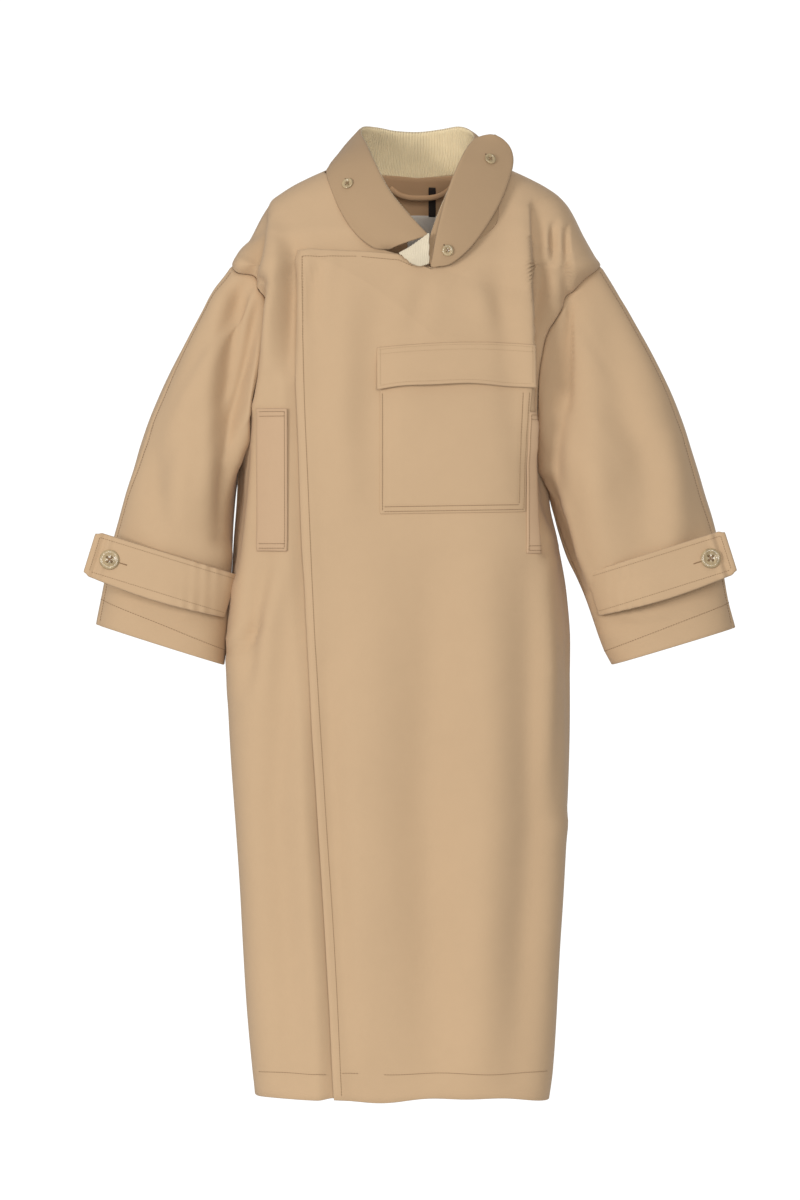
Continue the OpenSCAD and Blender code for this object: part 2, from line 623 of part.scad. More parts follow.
// Lets the sleeve start a seam's width outside the armhole
sleeve_start = 0.02;
function sleeve_point(turn, k, side) =
    let (o = over_arm(k, side), u = under_arm(k, side), c = (o + u) / 2, h = (o - u) / 2,
         ring = [side * (c[0] + h[0] * cos(turn)), -sleeve_half_depth(k) * sin(turn),
                 c[1] + h[1] * cos(turn)],
         shift = over_arm(k, side) - over_arm(0, side),
         under_shift = under_arm(k, side) - under_arm(0, side),
         s = mix(under_shift, shift, (1 + cos(turn)) / 2),
         moved = armhole_point(turn, side) + [side * s[0], 0, s[1]])
    mix(moved, ring, smooth(k / 0.45));
function sleeve_normal(turn, k, side) =
    let (n = unit(cross(sleeve_point(turn + 3, k, side) - sleeve_point(turn - 3, k, side),
                        sleeve_point(turn, min(1, k + 0.03), side)
                        - sleeve_point(turn, max(0, k - 0.03), side))))
    n * side;
function sleeve_at(turn, k, side, depth) =
    sleeve_point(turn, k, side) - sleeve_normal(turn, k, side) * depth;

over_arm_seam = 18;
sleeve_rings = [0, 0.08, 0.18, 0.3, 0.42, 0.55, 0.7, 0.85, 1];
module sleeve_part(first, last, k0, side, depth, thick, turns) {
    rings = [for (k = sleeve_rings) mix(k0, 1, k)];
    list = [for (t = steps(turns)) mix(first, last, t)];
    sheet([for (k = rings) [for (w = list) sleeve_at(w, k, side, depth)]],
          [for (k = rings) [for (w = list) sleeve_at(w, k, side, depth + thick)]]);
}
module sleeve_front(side) {
    color(cotton) sleeve_part(over_arm_seam + 0.5, 179.3, sleeve_start, side, 0, cloth, 12);
}
module sleeve_back(side) {
    color(cotton) sleeve_part(180.7, 360 + over_arm_seam - 0.5, sleeve_start, side, 0, cloth, 14);
}
turn_share = 1 - cuff_turn / (cuff_drop - armhole_top);
turn_depth = cloth + layer_gap + 0.6;
module sleeve_hem(side) {
    for (part = [[1, 179], [181, 359]])
        color(inside) sheet(
            [for (k = [turn_share, 0.996]) [for (t = steps(12))
                sleeve_at(mix(part[0], part[1], t), k, side, turn_depth)]],
            [for (k = [turn_share, 0.996]) [for (t = steps(12))
                sleeve_at(mix(part[0], part[1], t), k, side, turn_depth + facing)]]);
}

// ---- Cuff tabs -----------------------------------------------------------------------------
// A tab wraps the front of the sleeve from the under-arm line and ends straight past its edge
tab_share = 0.8;
tab_hinge_turn = 116;
tab_root_turn = 133;
tab_stand = 2.2;
tab_across = [cos(cuff_tilt), sin(cuff_tilt)];
tab_down = [tab_across[1], -tab_across[0]];
tab_mid = [cuff_reach, -cuff_drop] - tab_across * cuff_width / 2 - tab_down * tab_rise;
tab_half = cuff_width / 2 + 3;
tab_depth = sleeve_half_depth(tab_share);
// A point of the tab, from its path place [across, forward] and a distance down the sleeve
function tab_world(place, down, side) =
    let (p = tab_mid + tab_across * place[0] + tab_down * down)
    [side * p[0], -place[1], p[1]];
function tab_arc(turn, lift) =
    [(tab_half + lift) * cos(turn), (tab_depth + lift) * sin(turn)];
function tab_path(lift) = concat(
    [for (t = steps(4)) tab_arc(mix(tab_hinge_turn - 1.5, 92, t), lift)],
    [for (t = [0.2, 0.45, 0.7, 1]) [mix(0, tab_half + tab_overshoot, t), tab_depth + lift]]);
function root_path(extra) = [for (t = steps(6))
    tab_arc(mix(tab_root_turn, tab_hinge_turn + 1.5, t), tab_lift + extra)];
tab_lift = tab_stand + 6.5;
module tab_strip(path_in, path_out, side) {
    downs = [-tab_width / 2, 0, tab_width / 2];
    color(cotton) sheet([for (d = downs) [for (p = path_out) tab_world(p, d, side)]],
                        [for (d = downs) [for (p = path_in) tab_world(p, d, side)]]);
}
module cuff_tab(side) { tab_strip(tab_path(tab_lift), tab_path(tab_lift + cloth), side); }
module cuff_tab_root(side) { tab_strip(root_path(0), root_path(cloth), side); }

cuff_button_thick = 3.2;
cuff_button_lift = 1.2;
function cuff_button_place(side) = tab_world(
    [tab_half + tab_overshoot - tab_button_inset,
     tab_depth + tab_lift + cloth + cuff_button_thick + cuff_button_lift], 0, side);
module cuff_button(side) {
    color(horn) aim(cuff_button_place(side), [0, -1, 0]) button(cuff_button_d, cuff_button_thick);
}
module cuff_button_thread(side) {
    color(thread_colour) aim(cuff_button_place(side), [0, -1, 0])
        shank(cuff_button_d, cuff_button_thick, cuff_button_lift);
}

back_panel(LEFT);  // back_panel_left
back_panel(RIGHT);  // back_panel_right
back_vent_underlap();
back_neck_facing();
front_panel_left();
front_panel_right();
front_facing_left();
front_facing_right();
hem_turnup_left();
hem_turnup_right();
hem_turnup_back();
placket_flap();
placket_fly_strip();
fly_buttons();
fly_button_threads();
collar_right();
collar_back();
collar_left();
collar_corduroy();
collar_button();
collar_button_thread();
throat_tab();
throat_tab_buttons();
throat_tab_threads();
hang_loop();
neck_label();
size_tape();
chest_pocket();
pocket_flap();
welt(LEFT);  // welt_left
welt(RIGHT);  // welt_right
pocket_bag(LEFT);  // pocket_bag_left
pocket_bag(RIGHT);  // pocket_bag_right
sleeve_front(LEFT);  // sleeve_front_left
sleeve_back(LEFT);  // sleeve_back_left
sleeve_hem(LEFT);  // sleeve_hem_left
cuff_tab_root(LEFT);  // cuff_tab_root_left
cuff_tab(LEFT);  // cuff_tab_left
cuff_button(LEFT);  // cuff_button_left
cuff_button_thread(LEFT);  // cuff_button_thread_left
sleeve_front(RIGHT);  // sleeve_front_right
sleeve_back(RIGHT);  // sleeve_back_right
sleeve_hem(RIGHT);  // sleeve_hem_right
cuff_tab_root(RIGHT);  // cuff_tab_root_right
cuff_tab(RIGHT);  // cuff_tab_right
cuff_button(RIGHT);  // cuff_button_right
cuff_button_thread(RIGHT);  // cuff_button_thread_right
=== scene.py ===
"""Dresses a hanging wrap-front cotton coat: panels, collar, tabs, pockets, stitching and buttons."""

from __future__ import annotations

import logging
import math
from dataclasses import dataclass, field
from enum import Enum
from typing import Callable, Sequence

import bmesh
import bpy
import numpy as np
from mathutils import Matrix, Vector


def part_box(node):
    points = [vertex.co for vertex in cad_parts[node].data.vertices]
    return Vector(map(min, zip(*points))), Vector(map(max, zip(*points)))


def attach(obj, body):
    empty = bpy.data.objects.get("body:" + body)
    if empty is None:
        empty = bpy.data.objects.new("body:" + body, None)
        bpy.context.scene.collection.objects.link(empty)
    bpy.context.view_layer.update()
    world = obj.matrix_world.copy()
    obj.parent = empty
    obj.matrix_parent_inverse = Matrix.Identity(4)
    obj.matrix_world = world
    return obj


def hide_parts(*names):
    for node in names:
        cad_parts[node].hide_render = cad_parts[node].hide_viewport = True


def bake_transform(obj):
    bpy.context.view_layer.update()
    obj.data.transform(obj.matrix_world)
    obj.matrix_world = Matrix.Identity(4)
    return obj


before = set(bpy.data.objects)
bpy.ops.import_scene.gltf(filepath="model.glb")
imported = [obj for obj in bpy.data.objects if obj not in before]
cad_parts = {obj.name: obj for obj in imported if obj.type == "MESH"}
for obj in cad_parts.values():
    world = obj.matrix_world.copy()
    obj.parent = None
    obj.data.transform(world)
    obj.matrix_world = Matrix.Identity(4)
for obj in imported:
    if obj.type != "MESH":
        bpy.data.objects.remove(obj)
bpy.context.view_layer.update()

MM = 0.001
SHELL = "coat_shell"
LOG = logging.getLogger("coat")
Array = np.ndarray
Table = Sequence[tuple[float, float]]


class Side(Enum):
    """The two hands of the coat, as the wearer has them."""

    LEFT = 1
    RIGHT = -1

    @property
    def word(self) -> str:
        """The hand's name, as used in node and body names."""
        return self.name.lower()


class Slot(Enum):
    """Material slots of the record."""

    GABARDINE = "cotton_gabardine"
    INNER = "inner_cloth"
    CORDUROY = "corduroy"
    HORN = "horn"
    THREAD = "thread"
    LABEL = "woven_label"
    TAPE = "black_tape"


# ---- Numbers and curves ----------------------------------------------------------------------


def smooth(t: Array | float) -> Array:
    """Eases 0 to 1 into 0 to 1, flat at both ends."""
    u = np.clip(t, 0.0, 1.0)
    return u * u * (3.0 - 2.0 * u)


def mix(a: Array | float, b: Array | float, t: Array | float) -> Array:
    """Goes from a to b as t goes from 0 to 1."""
    return a + (b - a) * t


def unit(v: Array) -> Array:
    """Scales vectors along the last axis to length one."""
    return v / np.maximum(np.linalg.norm(v, axis=-1, keepdims=True), 1e-9)


class SmoothCurve:
    """A smooth line through a table of values, with no overshoot between them."""

    def __init__(self, table: Sequence[Sequence[float]]) -> None:
        """Takes the table.

        Args:
            table: rows of a rising position followed by one or more values.
        """
        rows = np.array(sorted(table, key=lambda r: r[0]), float)
        self.x = rows[:, 0]
        self.y = rows[:, 1:]
        step = np.diff(self.x)[:, None]
        slope = np.diff(self.y, axis=0) / step
        inner = np.where(slope[1:] * slope[:-1] > 0,
                         2 * slope[1:] * slope[:-1] / np.where(slope[1:] + slope[:-1] == 0, 1,
                                                               slope[1:] + slope[:-1]), 0.0)
        self.m = np.vstack([slope[:1], inner, slope[-1:]])

    def __call__(self, at: Array | float) -> Array:
        """Reads the line.

        Args:
            at: positions, held inside the table's ends.
        Returns:
            The values, with one more axis when the table has several.
        """
        a = np.clip(np.asarray(at, float), self.x[0], self.x[-1])
        i = np.clip(np.searchsorted(self.x, a, side="right") - 1, 0, len(self.x) - 2)
        h = (self.x[i + 1] - self.x[i])[..., None]
        t = (a - self.x[i])[..., None] / h
        y = ((2 * t**3 - 3 * t**2 + 1) * self.y[i] + (t**3 - 2 * t**2 + t) * h * self.m[i]
             + (3 * t**2 - 2 * t**3) * self.y[i + 1] + (t**3 - t**2) * h * self.m[i + 1])
        return y[..., 0] if self.y.shape[1] == 1 else y


def through(points: Sequence[Sequence[float]]) -> Callable[[Array], Array]:
    """Makes a curve through points, read by its share from 0 to 1.

    Args:
        points: the points that it passes, in order.
    Returns:
        A function from shares to points.
    """
    p = np.array(points, float)
    ends = np.vstack([2 * p[0] - p[1], p, 2 * p[-1] - p[-2]])

    def read(share: Array) -> Array:
        """Reads the curve at shares of its length in points."""
        f = np.clip(np.asarray(share, float), 0, 1) * (len(p) - 1)
        i = np.minimum(f.astype(int), len(p) - 2)
        t = (f - i)[..., None]
        a, b, c, d = ends[i], ends[i + 1], ends[i + 2], ends[i + 3]
        return 0.5 * (2 * b + (c - a) * t + (2 * a - 5 * b + 4 * c - d) * t**2
                      + (3 * b - a - 3 * c + d) * t**3)

    return read


# ---- The body's form -------------------------------------------------------------------------


@dataclass(frozen=True)
class Fold:
    """A crease or roll in the cloth: a line across the front or back, and how far it moves it."""

    path: tuple[tuple[float, float], ...]
    width: float
    height: float
    at_back: bool = False
    edge: float = 0.0

    def lift(self, x: Array, z: Array) -> Array:
        """How far the fold moves the cloth outward at places on the coat.

        Args:
            x: distances from the middle, in millimetres.
            z: levels, in millimetres.
        Returns:
            The outward move, in millimetres.
        """
        best = np.full(x.shape, 1e9)
        share = np.zeros(x.shape)
        beside = np.zeros(x.shape)
        line = np.array(self.path, float)
        count = len(line) - 1
        for i in range(count):
            a, d = line[i], line[i + 1] - line[i]
            t = np.clip(((x - a[0]) * d[0] + (z - a[1]) * d[1]) / (d @ d), 0, 1)
            gap = np.hypot(x - a[0] - t * d[0], z - a[1] - t * d[1])
            near = gap < best
            turn = d[0] * (z - a[1]) - d[1] * (x - a[0])
            beside = np.where(near, np.sign(turn) * gap, beside)
            best = np.where(near, gap, best)
            share = np.where(near, (i + t) / count, share)
        fade = 0.25 + 0.75 * np.sin(np.pi * np.clip(share, 0.02, 0.98)) ** 0.6
        if self.edge:
            fade = np.sin(np.pi * np.clip(share, 0.0, 1.0)) ** 0.5
            fall = smooth((beside + self.edge * 0.5) / self.edge)
            return self.height * fall * np.exp(-((np.maximum(beside, 0) / self.width) ** 2)) * fade
        valley = np.exp(-((best / self.width) ** 2))
        crest = 0.28 * np.exp(-(((best - 1.9 * self.width) / self.width) ** 2))
        return self.height * (valley - crest) * fade


def ripple(x: Array, z: Array, seed: float) -> Array:
    """The slight unevenness of a heavy cotton that has been worn and hung, in millimetres."""
    return (0.75 * np.sin(x / 43.0 + 1.7 * np.sin(z / 151.0 + seed) + seed)
            + 0.55 * np.sin(z / 67.0 + 2.1 * np.sin(x / 83.0 + 2 * seed))
            + 0.35 * np.sin((x + 0.6 * z) / 29.0 + seed) * np.sin(z / 97.0 - seed)
            + 0.22 * np.sin((x - 0.9 * z) / 17.0 + 3 * seed) * np.sin(x / 61.0 + seed))


BODY_FOLDS = (
    Fold(((146, -14), (149, -100), (150, -200), (153, -300), (156, -400), (160, -480)), 24, -13,
         edge=5.0),
    Fold(((166, -100), (168, -180), (160, -250), (156, -290)), 9, -5),
    Fold(((199, -150), (198, -90), (196, -46)), 15, -4, edge=4.0),
    Fold(((178, -44), (178, -96)), 5, -4),
    Fold(((136, -30), (140, -120), (144, -230), (152, -330)), 16, 4),
    Fold(((-205, -20), (-210, -70), (-218, -110), (-226, -156)), 9, -8),
    Fold(((-201, -122), (-213, -200), (-224, -270)), 9, -9),
    Fold(((-160, -86), (-167, -150), (-172, -230)), 12, -5),
    Fold(((-182, -60), (-186, -140), (-190, -230)), 11, 4),
    Fold(((-222, -290), (-232, -400), (-241, -500)), 8, -4),
    Fold(((-196, -480), (-214, -560), (-222, -640)), 12, -5),
    Fold(((-205, -560), (-228, -590), (-240, -600)), 7, -3.5),
    Fold(((-128, -92), (-137, -130), (-139, -175)), 9, -3.5),
    Fold(((10, -116), (2, -150), (-8, -190)), 14, -1.4),
    Fold(((60, -108), (84, -140), (100, -180)), 16, 1.6),
    Fold(((96, -116), (104, -150), (112, -186)), 14, -1.6),
    Fold(((-46, -130), (-58, -240), (-60, -360)), 26, -1.8),
    Fold(((-92, -140), (-96, -300), (-88, -420)), 20, 1.8),
    Fold(((-62, -470), (-70, -760), (-52, -1100)), 34, 3),
    Fold(((-120, -620), (-112, -820), (-96, -1120)), 16, -3),
    Fold(((188, -470), (196, -620), (186, -800)), 14, -5),
    Fold(((20, -500), (10, -800), (24, -1120)), 30, -3.5),
    Fold(((86, -450), (92, -760), (74, -1140)), 32, 3.5),
    Fold(((146, -500), (150, -820), (128, -1150)), 24, -4),
    Fold(((-165, -520), (-186, -800), (-160, -1150)), 20, -4),
    Fold(((60, 0), (66, -200), (54, -420), (60, -700)), 42, -6, True),
    Fold(((-60, -20), (-78, -240), (-66, -480), (-80, -800)), 42, -5, True),
    Fold(((120, -180), (130, -500), (110, -900), (120, -1160)), 30, 6, True),
    Fold(((-128, -200), (-140, -520), (-126, -900), (-130, -1160)), 30, 5, True),
    Fold(((150, -60), (120, -140), (60, -190)), 18, -5, True),
    Fold(((-150, -60), (-118, -150), (-60, -200)), 18, -5, True),
)


SLEEVE_FOLDS = (
    Fold(((-224, -96), (-236, -170), (-246, -260), (-250, -360), (-252, -450)), 13, -11),
    Fold(((-203, -128), (-220, -210), (-236, -300), (-240, -340)), 8, -9),
    Fold(((-262, -150), (-290, -280), (-318, -420), (-330, -500)), 26, 5),
    Fold(((-350, -330), (-330, -430), (-300, -500)), 18, -4),
    Fold(((-256, -560), (-300, -566), (-350, -560)), 9, -2.5),
    Fold(((199, -290), (201, -180), (199, -110)), 16, -9, edge=5.0),
    Fold(((186, -260), (180, -330), (178, -400)), 11, -5),
    Fold(((166, -377), (182, -425), (196, -480), (214, -520)), 7, -6),
    Fold(((214, -150), (226, -280), (230, -400), (250, -500)), 22, 5),
    Fold(((250, -200), (290, -330), (300, -450)), 24, -4),
    Fold(((330, -330), (336, -430), (320, -500)), 20, 4),
    Fold(((235, -560), (290, -570), (350, -560)), 9, -2.5),
)


@dataclass
class BodyForm:
    """The outer surface of the hanging body, as half widths and depths at each level."""

    hang_sway: float = 20.0
    squareness: float = 3.5
    hem: float = -1180.0
    left_width: Table = (
        (-1190, 189), (-1144, 195.5), (-884, 211), (-700, 218), (-590, 220), (-526, 215),
        (-460, 204), (-400, 190), (-330, 186), (-260, 185), (-200, 187), (-150, 200), (-120, 221),
        (-97, 240), (-84, 232), (-58, 217), (-32, 204), (-19, 196), (-6, 184), (6, 167), (19, 142),
        (34, 108))
    right_width: Table = (
        (-1190, 191), (-1144, 196), (-884, 213), (-700, 226), (-617, 228), (-560, 226),
        (-460, 221), (-400, 218), (-330, 220), (-260, 222), (-200, 217), (-150, 216), (-120, 228),
        (-97, 240), (-84, 232), (-58, 217), (-32, 204), (-19, 196), (-6, 184), (6, 167), (19, 142),
        (34, 108))
    depth: Table = (
        (-1190, 86), (-900, 94), (-500, 104), (-100, 110), (-60, 98), (-30, 84), (0, 72), (20, 62),
        (34, 55))
    curves: dict[str, SmoothCurve] = field(default_factory=dict)

    def __post_init__(self) -> None:
        """Turns the tables into smooth curves."""
        for name in ("left_width", "right_width", "depth"):
            self.curves[name] = SmoothCurve(getattr(self, name))

    def sway(self, z: Array) -> Array:
        """How far the coat's middle hangs to the wearer's right at a level."""
        return -self.hang_sway * smooth((-z - 60.0) / 440.0)

    def width_at(self, angle: Array, z: Array) -> Array:
        """Half the width at a level, on the side that an angle is on."""
        s = smooth((np.sin(np.radians(angle)) + 0.25) / 0.5)
        return mix(self.curves["right_width"](z), self.curves["left_width"](z), s)

    def point(self, angle: Array, z: Array) -> Array:
        """Places on the plain surface.

        Args:
            angle: degrees round the body from the middle of the front to the wearer's left.
            z: levels, in millimetres.
        Returns:
            Points, in millimetres.
        """
        a = np.radians(np.asarray(angle, float))
        z = np.asarray(z, float)
        n = self.squareness
        r = (np.abs(np.cos(a) / self.curves["depth"](z)) ** n
             + np.abs(np.sin(a) / self.width_at(angle, z)) ** n) ** (-1.0 / n)
        return np.stack([self.sway(z) + r * np.sin(a), -r * np.cos(a), z + 0 * r], -1)

    def normal(self, angle: Array, z: Array) -> Array:
        """The outward direction of the plain surface."""
        along = self.point(angle + 1.5, z) - self.point(angle - 1.5, z)
        up = self.point(angle, z + 6) - self.point(angle, z - 6)
        return unit(np.cross(along, up))

    def place(self, angle: Array, z: Array, lift: Array | float = 0.0) -> Array:
        """Places on the cloth, with its folds.

        Args:
            angle: degrees round the body.
            z: levels, in millimetres.
            lift: distances outward from the surface, in millimetres.
        Returns:
            Points, in millimetres.
        """
        p = self.point(angle, z)
        n = self.normal(angle, z)
        x, level, back = p[..., 0], p[..., 2], p[..., 1] > 0
        move = ripple(x + 900.0 * back, level, 0.4) * smooth((-level + 20) / 120)
        reach = smooth(np.abs(p[..., 1]) / 30.0)
        for fold in BODY_FOLDS:
            move = move + np.where(back == fold.at_back, fold.lift(x, level) * reach, 0.0) * 2.0
        return p + n * (move + lift)[..., None]

    def angle_at(self, x: Array, z: Array) -> Array:
        """The angle of the front surface at distances from the middle."""
        u = np.asarray(x, float) - self.sway(z)
        a = np.where(u > 0, self.curves["left_width"](z), self.curves["right_width"](z))
        part = np.minimum(np.abs(u) / a, 0.985)
        y = self.curves["depth"](z) * (1 - part**self.squareness) ** (1 / self.squareness)
        return np.degrees(np.arctan2(u, y))

    def front(self, x: Array, z: Array, lift: Array | float = 0.0) -> Array:
        """Places on the front's cloth by distance from the middle and level."""
        return self.place(self.angle_at(x, z), np.asarray(z, float), lift)

    def back(self, x: Array, z: Array, lift: Array | float = 0.0) -> Array:
        """Places on the back's cloth by distance from the middle and level."""
        return self.place(180.0 - self.angle_at(x, z), np.asarray(z, float), lift)


@dataclass(frozen=True)
class Armhole:
    """The loop where a sleeve is set into the body."""

    form: BodyForm
    side: Side
    top: float = -95.0
    under: float = -330.0
    back_spread: float = 25.0

    @property
    def front_spread(self) -> float:
        """Degrees that the loop takes out of the front, more on the side that is pulled round."""
        return 18.0 if self.side is Side.LEFT else 20.0

    def place(self, turn: Array) -> tuple[Array, Array]:
        """The loop's angle and level at turns from its top, round the front.

        Args:
            turn: degrees round the loop.
        Returns:
            Angles round the body, and levels.
        """
        t = np.radians(np.asarray(turn, float))
        u = np.sign(np.cos(t)) * np.abs(np.cos(t)) ** (2 / 3)
        v = np.sign(np.sin(t)) * np.abs(np.sin(t)) ** (2 / 3)
        spread = np.where(v > 0, self.front_spread, self.back_spread)
        return self.side.value * (90.0 - spread * v), mix(self.under, self.top, (1 + u) / 2)


# ---- Meshes ----------------------------------------------------------------------------------


def grid_normals(grid: Array) -> Array:
    """Directions square to a grid of points, by its rows and columns."""
    return unit(np.cross(np.gradient(grid, axis=1), np.gradient(grid, axis=0)))


def mesh_object(name: str, points: Array, faces: Sequence[Sequence[int]], weave: Array | None,
                finish: "Finish") -> bpy.types.Object:
    """Makes a smooth-shaded object.

    Args:
        name: the piece's name.
        points: its corners, in millimetres.
        faces: its faces, as lists of corners.
        weave: each corner's place along and across the cloth, or None.
        finish: what it is made of.
    Returns:
        The new object.
    """
    mesh = bpy.data.meshes.new(name)
    mesh.from_pydata((np.asarray(points) * MM).tolist(), [], [list(f) for f in faces])
    mesh.update()
    mesh.shade_smooth()
    if weave is None:
        weave = np.asarray(points)
    values = mesh.attributes.new("weave", "FLOAT_VECTOR", "POINT")
    values.data.foreach_set("vector", np.asarray(weave, np.float32).ravel())
    piece = bpy.data.objects.new(name, mesh)
    bpy.context.scene.collection.objects.link(piece)
    mesh.materials.append(finish.material())
    return piece


def cloth(name: str, grid: Array, finish: "Finish", thick: float = 2.0, wrap: bool = False,
          flip: bool = False) -> bpy.types.Object:
    """Makes a sheet of cloth with rolled edges from a grid of places on its outer face.

    Args:
        name: the piece's name.
        grid: rows and columns of points, in millimetres.
        finish: what it is made of.
        thick: the cloth's thickness.
        wrap: True where the last column meets the first.
        flip: True where the rows and columns turn the other way round.
    Returns:
        The new object.
    """
    rows, cols = grid.shape[:2]
    n = grid_normals(np.concatenate([grid[:, -3:-1], grid, grid[:, 1:3]], 1))[:, 2:-2] if wrap \
        else grid_normals(grid)
    n = n * (1.0 if flip else -1.0)
    inner = grid - n * thick
    across = np.linalg.norm(np.diff(grid, axis=1, prepend=grid[:, :1]), axis=-1).cumsum(1)
    along = np.linalg.norm(np.diff(grid, axis=0, prepend=grid[:1]), axis=-1).cumsum(0)
    along = np.broadcast_to(along.mean(1, keepdims=True), (rows, cols))
    weave = np.stack([across, along, np.zeros_like(across)], -1).reshape(-1, 3)
    points = [grid.reshape(-1, 3), inner.reshape(-1, 3)]
    marks = [weave, weave + [0, 0, thick]]
    r, c = np.meshgrid(np.arange(rows - 1), np.arange(cols - 1), indexing="ij")
    a = (r * cols + c).ravel()
    quads = np.stack([a, a + cols, a + cols + 1, a + 1], 1)
    total = rows * cols
    outer_faces = quads if not flip else quads[:, ::-1]
    faces = [outer_faces, (outer_faces + total)[:, ::-1]]
    ids = np.arange(total).reshape(rows, cols)
    if wrap:
        loops = [ids[0, ::-1], ids[-1, :]]
    else:
        loops = [np.concatenate([ids[0, ::-1], ids[1:, 0], ids[-1, 1:], ids[-2::-1, -1]])]
    flat_grid, flat_inner = points[0], points[1]
    centre_rows = {0: 1, rows - 1: rows - 2}
    base = 2 * total
    for loop in loops:
        rr, cc = loop // cols, loop % cols
        inside_r = np.vectorize(lambda v: centre_rows.get(v, v))(rr)
        inside_c = cc if wrap else np.clip(cc, 1, cols - 2)
        out = unit(flat_grid[loop] - flat_grid[inside_r * cols + inside_c])
        middle = (flat_grid[loop] + flat_inner[loop]) / 2 + out * thick * 0.45
        points.append(middle)
        marks.append(weave[loop])
        k = np.arange(len(loop) - 1)
        m, o = base + k, loop[k]
        m2, o2 = base + k + 1, loop[k + 1]
        side = [np.stack([o, o2, m2, m], 1), np.stack([m, m2, o2 + total, o + total], 1)]
        for s in side:
            faces.append(s if flip else s[:, ::-1])
        base += len(loop)
    piece = mesh_object(name, np.vstack(points), np.vstack(faces).tolist(), np.vstack(marks), finish)
    weld(piece)
    return piece


def weld(piece: bpy.types.Object, gap: float = 0.00002) -> None:
    """Joins corners that lie on each other and makes every face look outward.

    Args:
        piece: the piece to clean.
        gap: the longest distance joined, in metres.
    """
    work = bmesh.new()
    work.from_mesh(piece.data)
    bmesh.ops.remove_doubles(work, verts=work.verts, dist=gap)
    bmesh.ops.dissolve_degenerate(work, edges=work.edges, dist=gap / 4)
    bmesh.ops.recalc_face_normals(work, faces=work.faces)
    work.to_mesh(piece.data)
    work.free()
    piece.data.shade_smooth()


def along_path(path: Array, pitch: float) -> tuple[Array, Array]:
    """Steps along a path at an even pitch.

    Args:
        path: the path's points.
        pitch: the step.
    Returns:
        The points stepped to, and the path's direction there.
    """
    lengths = np.concatenate([[0], np.linalg.norm(np.diff(path, axis=0), axis=1).cumsum()])
    at = np.arange(pitch / 2, lengths[-1] - pitch / 4, pitch)
    points = np.stack([np.interp(at, lengths, path[:, i]) for i in range(3)], 1)
    ahead = np.stack([np.interp(at + 0.8, lengths, path[:, i]) for i in range(3)], 1)
    behind = np.stack([np.interp(at - 0.8, lengths, path[:, i]) for i in range(3)], 1)
    return points, unit(ahead - behind)


@dataclass(frozen=True)
class StitchRun:
    """A run of machine stitches: pitch, length of each stitch and thickness of the thread."""

    pitch: float = 3.6
    length: float = 2.7
    thread: float = 0.42

    def sew(self, name: str, paths: Sequence[tuple[Array, Array]]) -> bpy.types.Object:
        """Makes the stitches along paths.

        Args:
            name: the piece's name.
            paths: for each path its points and the outward direction at each, in millimetres.
        Returns:
            One object with every stitch.
        """
        ring, sides = 4, 6
        stations = np.array([-0.5, -0.32, 0.32, 0.5]) * self.length
        reach = np.array([0.25, 1.0, 1.0, 0.25]) * self.thread
        turn = np.arange(sides) * 2 * np.pi / sides
        points, faces = [], []
        for path, outward in paths:
            at, ahead = along_path(path, self.pitch)
            lengths = np.concatenate([[0], np.linalg.norm(np.diff(path, axis=0), axis=1).cumsum()])
            steps = np.arange(self.pitch / 2, lengths[-1] - self.pitch / 4, self.pitch)
            n = unit(np.stack([np.interp(steps, lengths, outward[:, i]) for i in range(3)], 1))
            b = unit(np.cross(ahead, n))
            for p, d, up, across in zip(at, ahead, n, b):
                start = len(points) * 1
                block = (p + up * self.thread * 0.35 + stations[:, None, None] * d
                         + reach[:, None, None] * (np.cos(turn)[None, :, None] * across
                                                   + np.sin(turn)[None, :, None] * up * 0.8))
                points.append(block.reshape(-1, 3))
                s = start * ring * sides
                for r in range(ring - 1):
                    for k in range(sides):
                        k2 = (k + 1) % sides
                        faces.append((s + r * sides + k, s + r * sides + k2,
                                      s + (r + 1) * sides + k2, s + (r + 1) * sides + k))
                faces.append(tuple(s + k for k in reversed(range(sides))))
                faces.append(tuple(s + (ring - 1) * sides + k for k in range(sides)))
        return mesh_object(name, np.vstack(points), faces, None, THREAD)


# ---- Finishes --------------------------------------------------------------------------------


def group_of(name: str, inputs: Sequence[tuple[str, str, float]],
             outputs: Sequence[tuple[str, str]]) -> tuple[bpy.types.NodeTree, bpy.types.Node,
                                                          bpy.types.Node]:
    """Starts a shader node group.

    Args:
        name: the group's name.
        inputs: name, socket type and first value of each input.
        outputs: name and socket type of each output.
    Returns:
        The group, its input node and its output node.
    """
    tree = bpy.data.node_groups.new(name, "ShaderNodeTree")
    for label, kind, value in inputs:
        socket = tree.interface.new_socket(label, in_out="INPUT", socket_type=kind)
        if kind == "NodeSocketFloat":
            socket.default_value = value
    for label, kind in outputs:
        tree.interface.new_socket(label, in_out="OUTPUT", socket_type=kind)
    return tree, tree.nodes.new("NodeGroupInput"), tree.nodes.new("NodeGroupOutput")


def maths(tree: bpy.types.NodeTree, how: str, a: object, b: object = None,
          c: object = None) -> bpy.types.NodeSocket:
    """Adds a Math node.

    Args:
        tree: where it goes.
        how: the operation's name.
        a: the first value or socket.
        b: the second, where there is one.
        c: the third, where there is one.
    Returns:
        Its output.
    """
    node = tree.nodes.new("ShaderNodeMath")
    node.operation = how
    for i, value in enumerate((a, b, c)):
        if isinstance(value, bpy.types.NodeSocket):
            tree.links.new(value, node.inputs[i])
        elif value is not None:
            node.inputs[i].default_value = float(value)
    return node.outputs[0]


